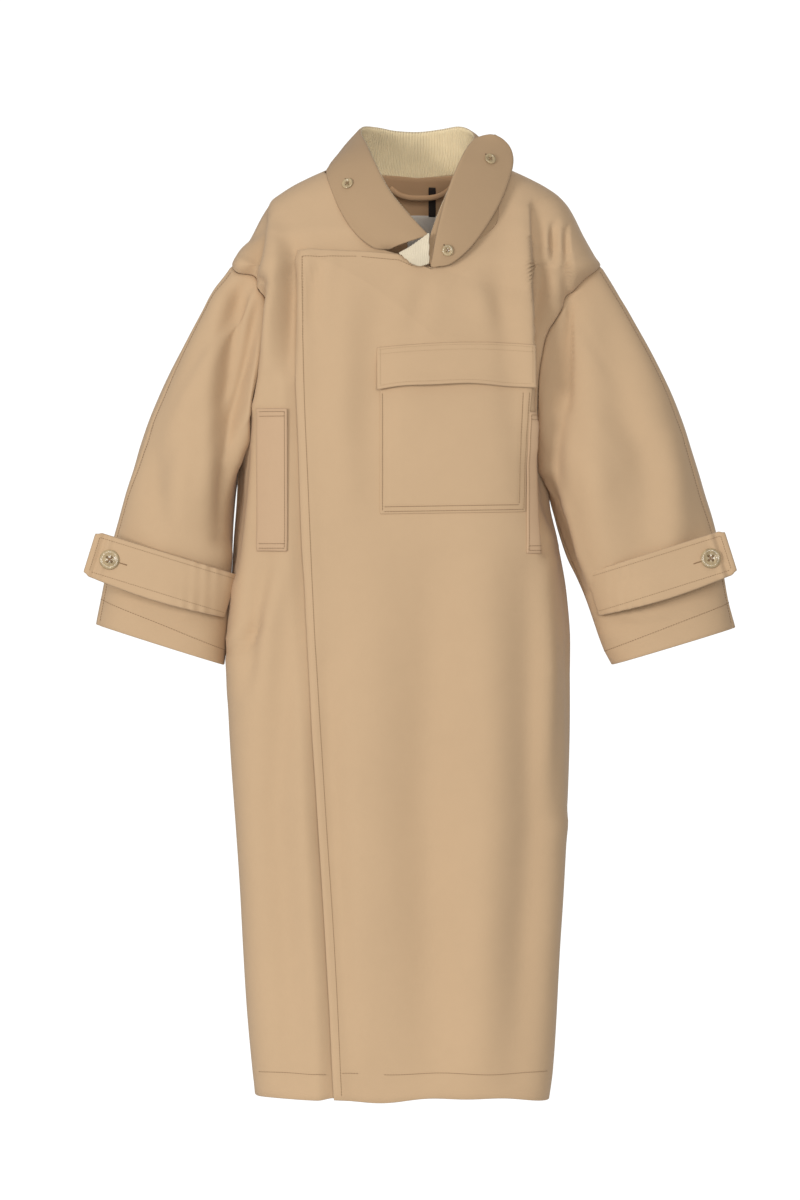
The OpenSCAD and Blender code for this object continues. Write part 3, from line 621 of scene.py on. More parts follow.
def noise(tree: bpy.types.NodeTree, vector: bpy.types.NodeSocket, scale: float, detail: float,
          rough: float = 0.5) -> bpy.types.NodeSocket:
    """Adds a Noise Texture and gives its factor."""
    node = tree.nodes.new("ShaderNodeTexNoise")
    node.inputs["Scale"].default_value = scale
    node.inputs["Detail"].default_value = detail
    node.inputs["Roughness"].default_value = rough
    tree.links.new(vector, node.inputs["Vector"])
    return node.outputs["Fac"]


def twill_group() -> bpy.types.NodeTree:
    """The steep diagonal rib of a gabardine, with uneven yarns. Built once."""
    if "Gabardine twill" in bpy.data.node_groups:
        return bpy.data.node_groups["Gabardine twill"]
    tree, gin, gout = group_of("Gabardine twill", [("Weave", "NodeSocketVector", 0.0),
                                                   ("Pitch", "NodeSocketFloat", 0.9)],
                               [("Height", "NodeSocketFloat"), ("Yarn", "NodeSocketFloat")])
    split = tree.nodes.new("ShaderNodeSeparateXYZ")
    tree.links.new(gin.outputs["Weave"], split.inputs[0])
    wander = noise(tree, gin.outputs["Weave"], 0.35, 2)
    line = maths(tree, "ADD", maths(tree, "MULTIPLY", split.outputs["X"], 0.89),
                 maths(tree, "MULTIPLY", split.outputs["Y"], 0.45))
    line = maths(tree, "ADD", line, maths(tree, "MULTIPLY", wander, 0.5))
    rib = maths(tree, "SINE", maths(tree, "DIVIDE", maths(tree, "MULTIPLY", line, 2 * math.pi),
                                    gin.outputs["Pitch"]))
    cross_yarn = maths(tree, "SINE", maths(tree, "MULTIPLY", split.outputs["Y"], 11.0))
    height = maths(tree, "ADD", maths(tree, "MULTIPLY", rib, 0.5),
                   maths(tree, "MULTIPLY", cross_yarn, 0.18))
    slub = noise(tree, gin.outputs["Weave"], 1.6, 3, 0.65)
    tree.links.new(maths(tree, "ADD", height, maths(tree, "MULTIPLY", slub, 0.7)),
                   gout.inputs["Height"])
    tree.links.new(slub, gout.inputs["Yarn"])
    return tree


def wear_group() -> bpy.types.NodeTree:
    """Soft patches of a slightly lighter and darker shade, as dyed cotton takes. Built once."""
    if "Dye variation" in bpy.data.node_groups:
        return bpy.data.node_groups["Dye variation"]
    tree, gin, gout = group_of("Dye variation", [("Place", "NodeSocketVector", 0.0),
                                                 ("Amount", "NodeSocketFloat", 0.05)],
                               [("Shade", "NodeSocketFloat"), ("Rub", "NodeSocketFloat")])
    broad = noise(tree, gin.outputs["Place"], 5.0, 3)
    fine = noise(tree, gin.outputs["Place"], 46.0, 4, 0.6)
    both = maths(tree, "ADD", maths(tree, "MULTIPLY", broad, 0.65),
                 maths(tree, "MULTIPLY", fine, 0.35))
    swing = maths(tree, "MULTIPLY", maths(tree, "SUBTRACT", both, 0.5), gin.outputs["Amount"])
    tree.links.new(maths(tree, "ADD", 1.0, swing), gout.inputs["Shade"])
    tree.links.new(fine, gout.inputs["Rub"])
    return tree


@dataclass(frozen=True)
class Finish:
    """What a piece is made of: the slot it fills, its colour and how it takes light."""

    name: str
    slot: Slot
    colour: tuple[float, float, float]
    rough: float = 0.85
    sheen: float = 0.0
    variation: float = 0.12
    coat: float = 0.0

    def material(self) -> bpy.types.Material:
        """The finish's material, built the first time it is asked for."""
        if self.name in bpy.data.materials:
            return bpy.data.materials[self.name]
        material = bpy.data.materials.new(self.name)
        material.use_nodes = True
        tree = material.node_tree
        shader = next(n for n in tree.nodes if n.type == "BSDF_PRINCIPLED")
        shader.inputs["Roughness"].default_value = self.rough
        shader.inputs["Sheen Weight"].default_value = self.sheen
        shader.inputs["Sheen Roughness"].default_value = 0.55
        shader.inputs["Coat Weight"].default_value = self.coat
        shader.inputs["Specular IOR Level"].default_value = 0.5 if self.coat else 0.22
        self.dress(tree, shader)
        return material

    def shade(self, tree: bpy.types.NodeTree, shader: bpy.types.Node,
              place: bpy.types.NodeSocket, factor: bpy.types.NodeSocket | None = None) -> None:
        """Links the varied colour to the shader.

        Args:
            tree: the material's nodes.
            shader: its Principled BSDF.
            place: the place on the object, in metres.
            factor: another shade to multiply by, if any.
        """
        dye = tree.nodes.new("ShaderNodeGroup")
        dye.node_tree = wear_group()
        dye.inputs["Amount"].default_value = self.variation
        tree.links.new(place, dye.inputs["Place"])
        level = dye.outputs["Shade"]
        if factor is not None:
            level = maths(tree, "MULTIPLY", level, factor)
        scaled = tree.nodes.new("ShaderNodeVectorMath")
        scaled.operation = "SCALE"
        scaled.inputs[0].default_value = self.colour
        tree.links.new(level, scaled.inputs["Scale"])
        tree.links.new(scaled.outputs[0], shader.inputs["Base Color"])

    def bump(self, tree: bpy.types.NodeTree, shader: bpy.types.Node,
             height: bpy.types.NodeSocket, depth: float) -> None:
        """Links a height to the shader's normal, depth metres deep."""
        node = tree.nodes.new("ShaderNodeBump")
        node.inputs["Strength"].default_value = 0.7
        node.inputs["Distance"].default_value = depth
        tree.links.new(height, node.inputs["Height"])
        tree.links.new(node.outputs["Normal"], shader.inputs["Normal"])

    def places(self, tree: bpy.types.NodeTree) -> tuple[bpy.types.NodeSocket, bpy.types.NodeSocket]:
        """The place on the object in metres, and along the cloth in millimetres."""
        where = tree.nodes.new("ShaderNodeTexCoord").outputs["Object"]
        weave = tree.nodes.new("ShaderNodeAttribute")
        weave.attribute_name = "weave"
        return where, weave.outputs["Vector"]

    def dress(self, tree: bpy.types.NodeTree, shader: bpy.types.Node) -> None:
        """Adds the finish's own nodes."""
        where, _ = self.places(tree)
        self.shade(tree, shader, where)


@dataclass(frozen=True)
class Twill(Finish):
    """Gabardine: a fine steep twill with a faint sheen."""

    pitch: float = 0.9

    def dress(self, tree: bpy.types.NodeTree, shader: bpy.types.Node) -> None:
        """Adds the twill's rib, its slubs and the softer creasing of the cloth."""
        where, weave = self.places(tree)
        twill = tree.nodes.new("ShaderNodeGroup")
        twill.node_tree = twill_group()
        twill.inputs["Pitch"].default_value = self.pitch
        tree.links.new(weave, twill.inputs["Weave"])
        yarn = maths(tree, "MULTIPLY_ADD", twill.outputs["Yarn"], 0.10, 0.95)
        self.shade(tree, shader, where, yarn)
        crumple = noise(tree, where, 16.0, 3)
        height = maths(tree, "ADD", maths(tree, "MULTIPLY", twill.outputs["Height"], 0.055),
                       maths(tree, "MULTIPLY", crumple, 1.5))
        self.bump(tree, shader, height, 0.0012)
        rough = maths(tree, "MULTIPLY_ADD", twill.outputs["Yarn"], 0.14, self.rough - 0.07)
        tree.links.new(rough, shader.inputs["Roughness"])


@dataclass(frozen=True)
class Pile(Finish):
    """Corduroy's pile: soft, with fine streaks of tone along the wales."""

    def dress(self, tree: bpy.types.NodeTree, shader: bpy.types.Node) -> None:
        """Adds the nap's streaky flecks and soft patches of tone."""
        where, weave = self.places(tree)
        stretch = tree.nodes.new("ShaderNodeMapping")
        stretch.inputs["Scale"].default_value = (1.4, 0.25, 1.0)
        tree.links.new(weave, stretch.inputs["Vector"])
        fleck = noise(tree, stretch.outputs[0], 1.1, 4, 0.7)
        patch = noise(tree, where, 42.0, 2)
        level = maths(tree, "ADD", maths(tree, "MULTIPLY", fleck, 0.34),
                      maths(tree, "MULTIPLY", patch, 0.26))
        self.shade(tree, shader, where, maths(tree, "ADD", level, 0.70))
        self.bump(tree, shader, fleck, 0.0005)


@dataclass(frozen=True)
class Horn(Finish):
    """Polished horn: streaked and cloudy, with a soft gloss."""

    def dress(self, tree: bpy.types.NodeTree, shader: bpy.types.Node) -> None:
        """Adds the streaks and clouds of the horn."""
        where, _ = self.places(tree)
        stretch = tree.nodes.new("ShaderNodeMapping")
        stretch.inputs["Scale"].default_value = (1.0, 1.0, 0.3)
        stretch.inputs["Rotation"].default_value = (0.3, 0.7, 0.0)
        tree.links.new(where, stretch.inputs["Vector"])
        streak = noise(tree, stretch.outputs[0], 210.0, 3, 0.6)
        level = maths(tree, "MULTIPLY_ADD", streak, 1.5, 0.25)
        self.shade(tree, shader, where, level)
        tree.links.new(maths(tree, "MULTIPLY_ADD", streak, 0.18, self.rough - 0.09),
                       shader.inputs["Roughness"])


GABARDINE = Twill("Beige gabardine", Slot.GABARDINE, (0.535, 0.368, 0.219), 0.86, 0.10)
# A darker copy of the body's gabardine, used for the collar and its tab: painted shade for the top of the
# coat, where less light falls.
COLLAR_SHADED_GABARDINE = Twill("Beige gabardine collar", Slot.GABARDINE, (0.415, 0.278, 0.160), 0.86, 0.10)
INNER = Twill("Gabardine reverse", Slot.INNER, (0.560, 0.345, 0.190), 0.9, 0.05)
WELT_CLOTH = Twill("Beige gabardine welt", Slot.GABARDINE, (0.530, 0.357, 0.218), 0.86, 0.10)
# The corduroy lining is given a colour far brighter than its own: painted light that makes up for the shade
# inside the neck.
CORDUROY = Pile("Ribbed corduroy", Slot.CORDUROY, (0.800, 0.655, 0.410), 0.95, 0.35)
CREAM_CORDUROY = Pile("Cream corduroy", Slot.CORDUROY, (0.66, 0.57, 0.42), 0.95, 0.15)
HORN = Horn("Mottled horn", Slot.HORN, (0.40, 0.30, 0.165), 0.34, 0.0, 0.3, 0.35)
THREAD = Finish("Sewing thread", Slot.THREAD, (0.265, 0.160, 0.082), 0.7, 0.1)
# A near-black tube beside each collar button stands for the buttonhole's opening: painted shadow.
EYELET_PAINTED_SHADOW = Finish("Eyelet shadow thread", Slot.THREAD, (0.10, 0.065, 0.04), 0.9)
LABEL = Twill("Off-white woven label", Slot.LABEL, (0.76, 0.69, 0.60), 0.6, 0.2, 0.05, 0.0, 0.5)
TAPE = Twill("Black woven tape", Slot.TAPE, (0.030, 0.021, 0.017), 0.7, 0.1, 0.1, 0.0, 0.6)


# ---- Body panels -----------------------------------------------------------------------------

NECK_SEAM = ((90, 32), (66, 22), (57, 0), (49, -45), (34, -74), (20, -94), (13, -104))


@dataclass
class Fronts:
    """The two fronts: the outer one wraps over to the wearer's right."""

    form: BodyForm
    wrap_edge: Table = ((-1185, -108), (-1020, -116), (-800, -130), (-560, -144), (-400, -151),
                        (-270, -156), (-150, -158), (-76, -160))
    columns: int = 96
    under_depth: float = 5.5

    def edge_x(self, z: Array) -> Array:
        """Distance of the wrap's free edge from the middle at a level."""
        return SmoothCurve(self.wrap_edge)(z)

    def rows(self, inner: list[tuple[float, float]], side: Side, shares: Sequence[float],
             counts: Sequence[int]) -> tuple[Array, Array]:
        """Ends of the rows of a front panel.

        Args:
            inner: angle and level of points down the panel's inner edge.
            side: the hand that the panel is on.
            shares: for each inner point, its share down the armhole (to 1) and side seam (to 2).
            counts: how many rows go between each two inner points.
        Returns:
            The inner ends and the outer ends, as angles and levels.
        """
        hole = Armhole(self.form, side)
        ends_in, ends_out = [], []
        pts = np.array(inner, float)
        for i, count in enumerate(counts):
            for t in np.arange(count) / count:
                ends_in.append(mix(pts[i], pts[i + 1], t))
                ends_out.append(mix(shares[i], shares[i + 1], t))
        ends_in.append(pts[-1])
        ends_out.append(shares[-1])
        share = np.array(ends_out)
        angle, level = hole.place(np.clip(share, 0, 1) * 180.0)
        below = share > 1
        level = np.where(below, mix(hole.under, self.form.hem, share - 1), level)
        angle = np.where(below, side.value * 90.0, angle)
        return np.array(ends_in), np.stack([angle, level], 1)

    def outer_grid(self) -> Array:
        """Places of the outer front, from its shoulder to its hem."""
        f = self.form
        neck = [(a, z) for a, z in NECK_SEAM]
        top = [(float(f.angle_at(x, z)), z) for x, z in
               ((8, -102), (-23, -87), (-70, -82), (-120, -80), (-156, -79))]
        levels = (-100, -200, -330, -500, -700, -900, -1060, -1181)
        edge = [(float(f.angle_at(self.edge_x(z), z)), z) for z in levels]
        inner = neck + top + edge
        shares = [0.0, 0.06, 0.1, 0.16, 0.24, 0.31, 0.36, 0.39, 0.45, 0.52, 0.6, 0.68, 0.74,
                  0.88, 1.0, 1.2, 1.44, 1.67, 1.86, 2.0]
        counts = [6, 5, 8, 7, 5, 3, 3, 5, 7, 8, 6, 5, 10, 12, 18, 20, 20, 16, 14]
        ends_in, ends_out = self.rows(inner, Side.LEFT, shares, counts)
        s = np.linspace(0, 1, self.columns)
        s = s + 0.06 * np.sin(2 * np.pi * s) * 0.5
        angle = mix(ends_in[:, None, 0], ends_out[:, None, 0], s)
        z = mix(ends_in[:, None, 1], ends_out[:, None, 1], s)
        x = f.point(angle, z)[..., 0]
        lift = self.seat(x, z)
        hem = smooth((z + 1120) / -60)
        z = z + hem * (2.2 * np.sin(x / 38.0) + 1.4 * np.sin(x / 17.0 + 1.0))
        grid = f.place(angle, z, lift)
        end = smooth((s - 0.985) / 0.015)[None, :] * np.where(z > -330, 1.6, 1.0)
        return grid - f.normal(angle, z) * end[..., None]

    def seat(self, x: Array, z: Array) -> Array:
        """How far the outer front stands off the plain form: more along its free edge."""
        gap = x - self.edge_x(z)
        roll = 2.4 * np.exp(-((gap - 8) / 10.0) ** 2) * smooth((-z - 70) / 60)
        wave = 0.8 * np.sin(z / 47.0) + 0.5 * np.sin(z / 23.0 + 1.0)
        return 1.0 + roll + wave * np.exp(-((gap / 30.0) ** 2))

    def under_grid(self) -> Array:
        """Places of the under front, which passes behind the outer one."""
        f = self.form
        neck = [(float(f.angle_at(x, z)), z) for x, z in
                ((-111, 21), (-99, -16), (-79, -51), (-56, -74))]
        inner = [(-90.0, 32.0)] + neck
        inner += [(float(f.angle_at(x, -84)), z) for x, z in ((-30, -83), (20, -92))]
        levels = (-200, -330, -500, -700, -900, -1060, -1180)
        inner += [(float(f.angle_at(20, z)), z) for z in levels]
        shares = [0.0, 0.06, 0.12, 0.2, 0.3, 0.42, 0.52, 0.82, 1.0, 1.2, 1.44, 1.67, 1.86, 2.0]
        counts = [6, 5, 9, 9, 6, 8, 18, 14, 20, 22, 22, 16, 14]
        ends_in, ends_out = self.rows(inner, Side.RIGHT, shares, counts)
        s = np.linspace(0, 1, self.columns)
        s = s + 0.15 * np.sin(np.pi * s)
        s = np.clip(s, 0, 1)
        angle = mix(ends_in[:, None, 0], ends_out[:, None, 0], s)
        z = mix(ends_in[:, None, 1], ends_out[:, None, 1], s)
        x = f.point(angle, z)[..., 0]
        behind = smooth((x - self.edge_x(z) + 22) / 20.0) * smooth((-z - 50) / 25)
        hem = smooth((z + 1120) / -60)
        z = z + hem * (1.6 * np.sin(x / 31.0 + 2) + 3.0 * behind)
        grid = f.place(angle, z, -self.under_depth * behind)
        end = smooth((s - 0.985) / 0.015)[None, :] * np.where(z > -330, 1.6, 1.0)
        return grid - f.normal(angle, z) * end[..., None]

    def build(self) -> None:
        """Makes both fronts, their facings and the concealed fastening's strip."""
        grid = self.outer_grid()
        outer = cloth("outer_front", grid, GABARDINE, 2.2)
        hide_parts("front_panel_left", "placket_flap")
        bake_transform(outer)
        grid = self.under_grid()
        under = cloth("under_front", grid, GABARDINE, 2.0, flip=True)
        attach(under, SHELL)
        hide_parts("front_panel_right")
        self.linings()
        LOG.info("fronts made")

    def strip(self, name: str, x0: float, x1: float, z0: float, z1: float, lift: float,
              node: str, body: str = SHELL) -> bpy.types.Object:
        """Makes a facing along the inside of a front.

        Args:
            name: the piece's name.
            x0: one edge's distance from the middle.
            x1: the other edge's distance.
            z0: the top level.
            z1: the bottom level.
            lift: how far it lies from the form, inward below zero.
            node: the node that it stands for.
            body: the body that it moves with.
        Returns:
            The facing.
        """
        z, u = np.meshgrid(np.linspace(z0, z1, 70), np.linspace(0, 1, 12), indexing="ij")
        x = mix(x0, x1, u)
        if body != SHELL:
            x = mix(x0, self.edge_x(z) + 9, u)
        grid = self.form.front(x, z, lift)
        piece = cloth(name, grid, INNER, 1.2, flip=body != SHELL)
        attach(piece, body)
        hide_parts(node)
        return piece

    def linings(self) -> None:
        """Makes the facings and the strip that carries the buttonholes."""
        self.strip("left_front_facing", -44, 45, -150, -1146, -3.2, "front_facing_left")
        self.strip("right_front_facing", -66, 16, -110, -1146, -9.4, "front_facing_right")
        self.strip("buttonhole_strip", -74, -150, -104, -1168, -1.8, "placket_fly_strip", "front_wrap")


@dataclass
class Backs:
    """The two back panels, joined by a centre seam with a vent below."""

    form: BodyForm
    columns: int = 64
    vent_top: float = -800.0

    def grid(self, side: Side) -> Array:
        """Places of one back panel, from its shoulder to its hem."""
        hole = Armhole(self.form, side)
        inner = [(90.0, 32.0), (112, 29), (135, 26), (158, 22), (180, 20), (180, -60), (180, -165),
                 (180, -285), (180, -420), (180, -600), (180, -800), (180, -1000), (180, -1180)]
        shares = [0.0, 0.08, 0.16, 0.25, 0.34, 0.5, 0.7, 0.88, 1.1, 1.32, 1.55, 1.79, 2.0]
        counts = [7, 7, 7, 7, 9, 11, 12, 13, 16, 18, 18, 16]
        ends_in, share = [], []
        pts = np.array(inner)
        for i, count in enumerate(counts):
            for t in np.arange(count) / count:
                ends_in.append(mix(pts[i], pts[i + 1], t))
                share.append(mix(shares[i], shares[i + 1], t))
        ends_in.append(pts[-1])
        share.append(2.0)
        share, ends_in = np.array(share), np.array(ends_in)
        angle_out, level = hole.place(360.0 - np.clip(share, 0, 1) * 180.0)
        angle_out = np.abs(angle_out)
        below = share > 1
        level = np.where(below, mix(hole.under, self.form.hem, share - 1), level)
        angle_out = np.where(below, 90.0, angle_out)
        s = np.linspace(0, 1, self.columns)
        angle = mix(ends_in[:, None, 0], angle_out[:, None], s)
        z = mix(ends_in[:, None, 1], level[:, None], s)
        signed = side.value * angle
        x = self.form.point(signed, z)[..., 0]
        z = z + smooth((z + 1120) / -60) * 2.0 * np.sin(x / 35.0)
        edge = smooth((s - 0.98) / 0.02) + smooth((0.02 - s) / 0.02)
        vent = smooth((self.vent_top - z) / 60) * smooth((0.12 - s) / 0.12)[None, :]
        lift = -1.2 * edge[None, :] + vent * (1.6 if side is Side.LEFT else -2.6)
        return self.form.place(signed, z, lift)

    def build(self) -> None:
        """Makes the panels, the vent's underlap, the neck facing, the label and the tape."""
        for side in Side:
            grid = self.grid(side)
            panel = cloth(f"back_panel_{side.word}_cloth", grid, GABARDINE, 2.0,
                          flip=side is Side.LEFT)
            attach(panel, SHELL)
            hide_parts(f"back_panel_{side.word}")
        f = self.form
        z, a = np.meshgrid(np.linspace(self.vent_top, -1174, 40), np.linspace(173, 187, 8),
                           indexing="ij")
        self.lay("vent_underlap", f.place(a, z, -6.5), "back_vent_underlap")
        t, a = np.meshgrid(np.linspace(0, 1, 22), np.linspace(104, 256, 60), indexing="ij")
        far = np.abs(a - 180) / 76
        z = mix(mix(24.0, 32.0, far), mix(-96.0, -30.0, far**2), t)
        self.lay("neck_facing", f.place(a, z, -3.4), "back_neck_facing")
        self.patch("neck_label_cloth", 17, 30, -23, -75, LABEL, "neck_label", 0.5)
        self.patch("size_tape_cloth", 19.5, 4.6, 14, -24, TAPE, "size_tape", 1.1)
        LOG.info("backs made")

    def lay(self, name: str, grid: Array, node: str) -> None:
        """Makes an inner piece of the back and fixes it to the shell."""
        piece = cloth(name, grid, INNER, 1.3)
        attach(piece, SHELL)
        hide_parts(node)

    def patch(self, name: str, middle: float, half: float, top: float, bottom: float,
              finish: Finish, node: str, lift: float) -> None:
        """Makes a label or tape on the inside of the back.

        Args:
            name: the piece's name.
            middle: its middle's distance from the coat's middle.
            half: half its width.
            top: its top level.
            bottom: its bottom level.
            finish: what it is woven from.
            node: the node that it stands for.
            lift: how far it stands off the facing.
        """
        z, x = np.meshgrid(np.linspace(top, bottom, 16), np.linspace(middle - half, middle + half, 16),
                           indexing="ij")
        grid = self.form.back(x, z, -5.2 - lift - 0.5 * np.sin((z - top) / 14.0))
        piece = cloth(name, grid, finish, 0.5, flip=True)
        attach(piece, SHELL)
        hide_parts(node)


# ---- Sleeves ---------------------------------------------------------------------------------


@dataclass
class Sleeve:
    """One full sleeve, set into a dropped armhole and turned up at the cuff."""

    form: BodyForm
    side: Side
    over_left: tuple[tuple[float, float], ...] = (
        (240, -97), (263, -136), (282, -169), (300, -201), (317, -234), (332, -266), (345, -299),
        (355, -331), (366, -364), (376, -396), (387, -429), (395, -461), (407, -526), (416, -568))
    under_left: tuple[tuple[float, float], ...] = (
        (176, -330), (171, -377), (180, -430), (194, -476), (208, -505), (220, -532), (232, -563),
        (243, -591), (254, -617))
    over_right: tuple[tuple[float, float], ...] = (
        (240, -97), (264, -136), (284, -169), (303, -201), (321, -234), (336, -266), (350, -299),
        (362, -331), (372, -364), (383, -396), (393, -429), (402, -461), (415, -526), (421, -564))
    under_right: tuple[tuple[float, float], ...] = (
        (232, -330), (236, -380), (239, -430), (241, -476), (245, -520), (249, -570), (253, -617))

    def line(self, points: Sequence[Sequence[float]], k: Array) -> Array:
        """A point on an edge line at a share of the sleeve's length."""
        p = np.array(points, float)
        run = np.concatenate([[0], np.linalg.norm(np.diff(p, axis=0), axis=1).cumsum()])
        run /= run[-1]
        return SmoothCurve(np.column_stack([run, p]))(k)

    def over(self, k: Array) -> Array:
        """The over-arm line, as distance out and level."""
        return self.line(self.over_left if self.side is Side.LEFT else self.over_right, k)

    def under(self, k: Array) -> Array:
        """The under-arm line, as distance out and level."""
        return self.line(self.under_left if self.side is Side.LEFT else self.under_right, k)

    def place(self, turn: Array, k: Array, lift: Array | float = 0.0) -> Array:
        """Places on the sleeve.

        Args:
            turn: degrees from the over-arm line, round the front.
            k: shares of the length, from the armhole to the cuff.
            lift: distances outward, in millimetres.
        Returns:
            Points, in millimetres.
        """
        turn, k = np.broadcast_arrays(np.asarray(turn, float), np.asarray(k, float))
        e = 2.0
        p = self.plain(turn, k)
        n = unit(np.cross(self.plain(turn + e, k) - self.plain(turn - e, k),
                          self.plain(turn, np.minimum(k + 0.01, 1)) -
                          self.plain(turn, np.maximum(k - 0.01, 0)))) * self.side.value
        creases = sum(fold.lift(p[..., 0], p[..., 2]) for fold in SLEEVE_FOLDS)
        creases = creases * smooth(-p[..., 1] / 30.0) * smooth(k / 0.08) * smooth((1 - k) / 0.15)
        return p + n * (np.asarray(lift) + self.folds(turn, k) + 1.3 * creases)[..., None]

    def plain(self, turn: Array, k: Array) -> Array:
        """Places on the sleeve before its folds."""
        t = np.radians(turn)
        o, u = self.over(k), self.under(k)
        c, h = (o + u) / 2, (o - u) / 2
        sharp = 2.35
        ct = np.sign(np.cos(t)) * np.abs(np.cos(t)) ** (2 / sharp)
        st = np.sign(np.sin(t)) * np.abs(np.sin(t)) ** (2 / sharp)
        depth = mix(82.0, 57.0, smooth(k * 1.05))
        forward = 8.0 * np.sin(np.pi * k) + 4.0
        ring = np.stack([self.side.value * (c[..., 0] + h[..., 0] * ct), -depth * st - forward,
                         c[..., 1] + h[..., 1] * ct], -1)
        angle, level = Armhole(self.form, self.side).place(turn)
        start = self.form.place(angle, level)
        o0, u0 = self.over(np.zeros_like(k)), self.under(np.zeros_like(k))
        share = ((1 + np.cos(t)) / 2)[..., None]
        shift = mix(u - u0, o - o0, share)
        moved = start + np.stack([self.side.value * shift[..., 0], 0 * k, shift[..., 1]], -1)
        return mix(moved, ring, smooth(k / 0.42)[..., None])

    def folds(self, turn: Array, k: Array) -> Array:
        """How far the sleeve's creases move its cloth outward."""
        front = np.exp(-(((turn - 90) % 360 - 0) / 75.0) ** 2)
        a = np.radians(turn)
        soft = 1.5 * np.sin(3 * a + 5.0 * k) + 0.8 * np.sin(5 * a - 9.0 * k + self.side.value)
        drag = 5.0 * np.exp(-(((turn - 120 + 50 * k) / 16.0) ** 2)) * np.sin(np.pi * np.clip(k / 0.7, 0, 1))
        pull = -4.5 * np.exp(-(((turn - 96 + 60 * k) / 13.0) ** 2)) * np.sin(np.pi * np.clip(k / 0.6, 0, 1))
        head = 1.4 * np.exp(-((k - 0.06) / 0.05) ** 2) * (0.4 + front)
        seam = -1.4 * np.exp(-((((turn - 18 + 180) % 360 - 180) / 2.2) ** 2))
        return (soft * smooth(k / 0.15) * smooth((1.02 - k) / 0.1) + drag + pull + head
                + seam - 1.5 * smooth((0.012 - k) / 0.012))

    def build(self) -> None:
        """Makes the sleeve's two panels and its turn-up, and bakes their placing into their meshes."""
        s = self.side
        self.panel(f"sleeve_front_{s.word}_cloth", 18.0, 180.0, 0.0, 1.0, 0.0, GABARDINE, 2.0,
                   f"sleeve_front_{s.word}")
        self.panel(f"sleeve_back_{s.word}_cloth", 180.0, 378.0, 0.0, 1.0, 0.0, GABARDINE, 2.0,
                   f"sleeve_back_{s.word}")
        self.panel(f"sleeve_turnup_{s.word}", 0.0, 360.0, 0.93, 0.996, -3.0, INNER, 1.3,
                   f"sleeve_hem_{s.word}")
        turn, across = np.meshgrid(np.linspace(28, 152, 60), np.linspace(-2.5, 2.5, 8), indexing="ij")
        angle, level = Armhole(self.form, s).place(turn)
        grid = self.form.place(angle + s.value * across, level, -3.2)
        tape = cloth(f"armhole_tape_{s.word}", grid, INNER, 1.0, flip=s is Side.RIGHT)
        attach(tape, SHELL)
        LOG.info("%s sleeve made", s.word)

    def panel(self, name: str, t0: float, t1: float, k0: float, k1: float, lift: float,
              finish: Finish, thick: float, node: str) -> None:
        """Makes one piece of the sleeve.

        Args:
            name: the piece's name.
            t0: the turn of its first seam.
            t1: the turn of its last seam.
            k0: its first share of the sleeve's length.
            k1: its last share.
            lift: how far it lies from the sleeve's surface.
            finish: what it is made of.
            thick: its thickness.
            node: the node that it stands for.
        """
        count = max(int(96 * (k1 - k0)), 8)
        k, turn = np.meshgrid(np.linspace(k0, k1, count), np.linspace(t0, t1, 72), indexing="ij")
        grid = self.place(turn, k, lift)
        piece = cloth(name, grid, finish, thick, flip=self.side is Side.LEFT)
        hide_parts(node)
        self.bend(piece)

    def bend(self, piece: bpy.types.Object) -> None:
        """Bakes a piece's placing into its mesh."""
        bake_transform(piece)


# ---- Collar ----------------------------------------------------------------------------------


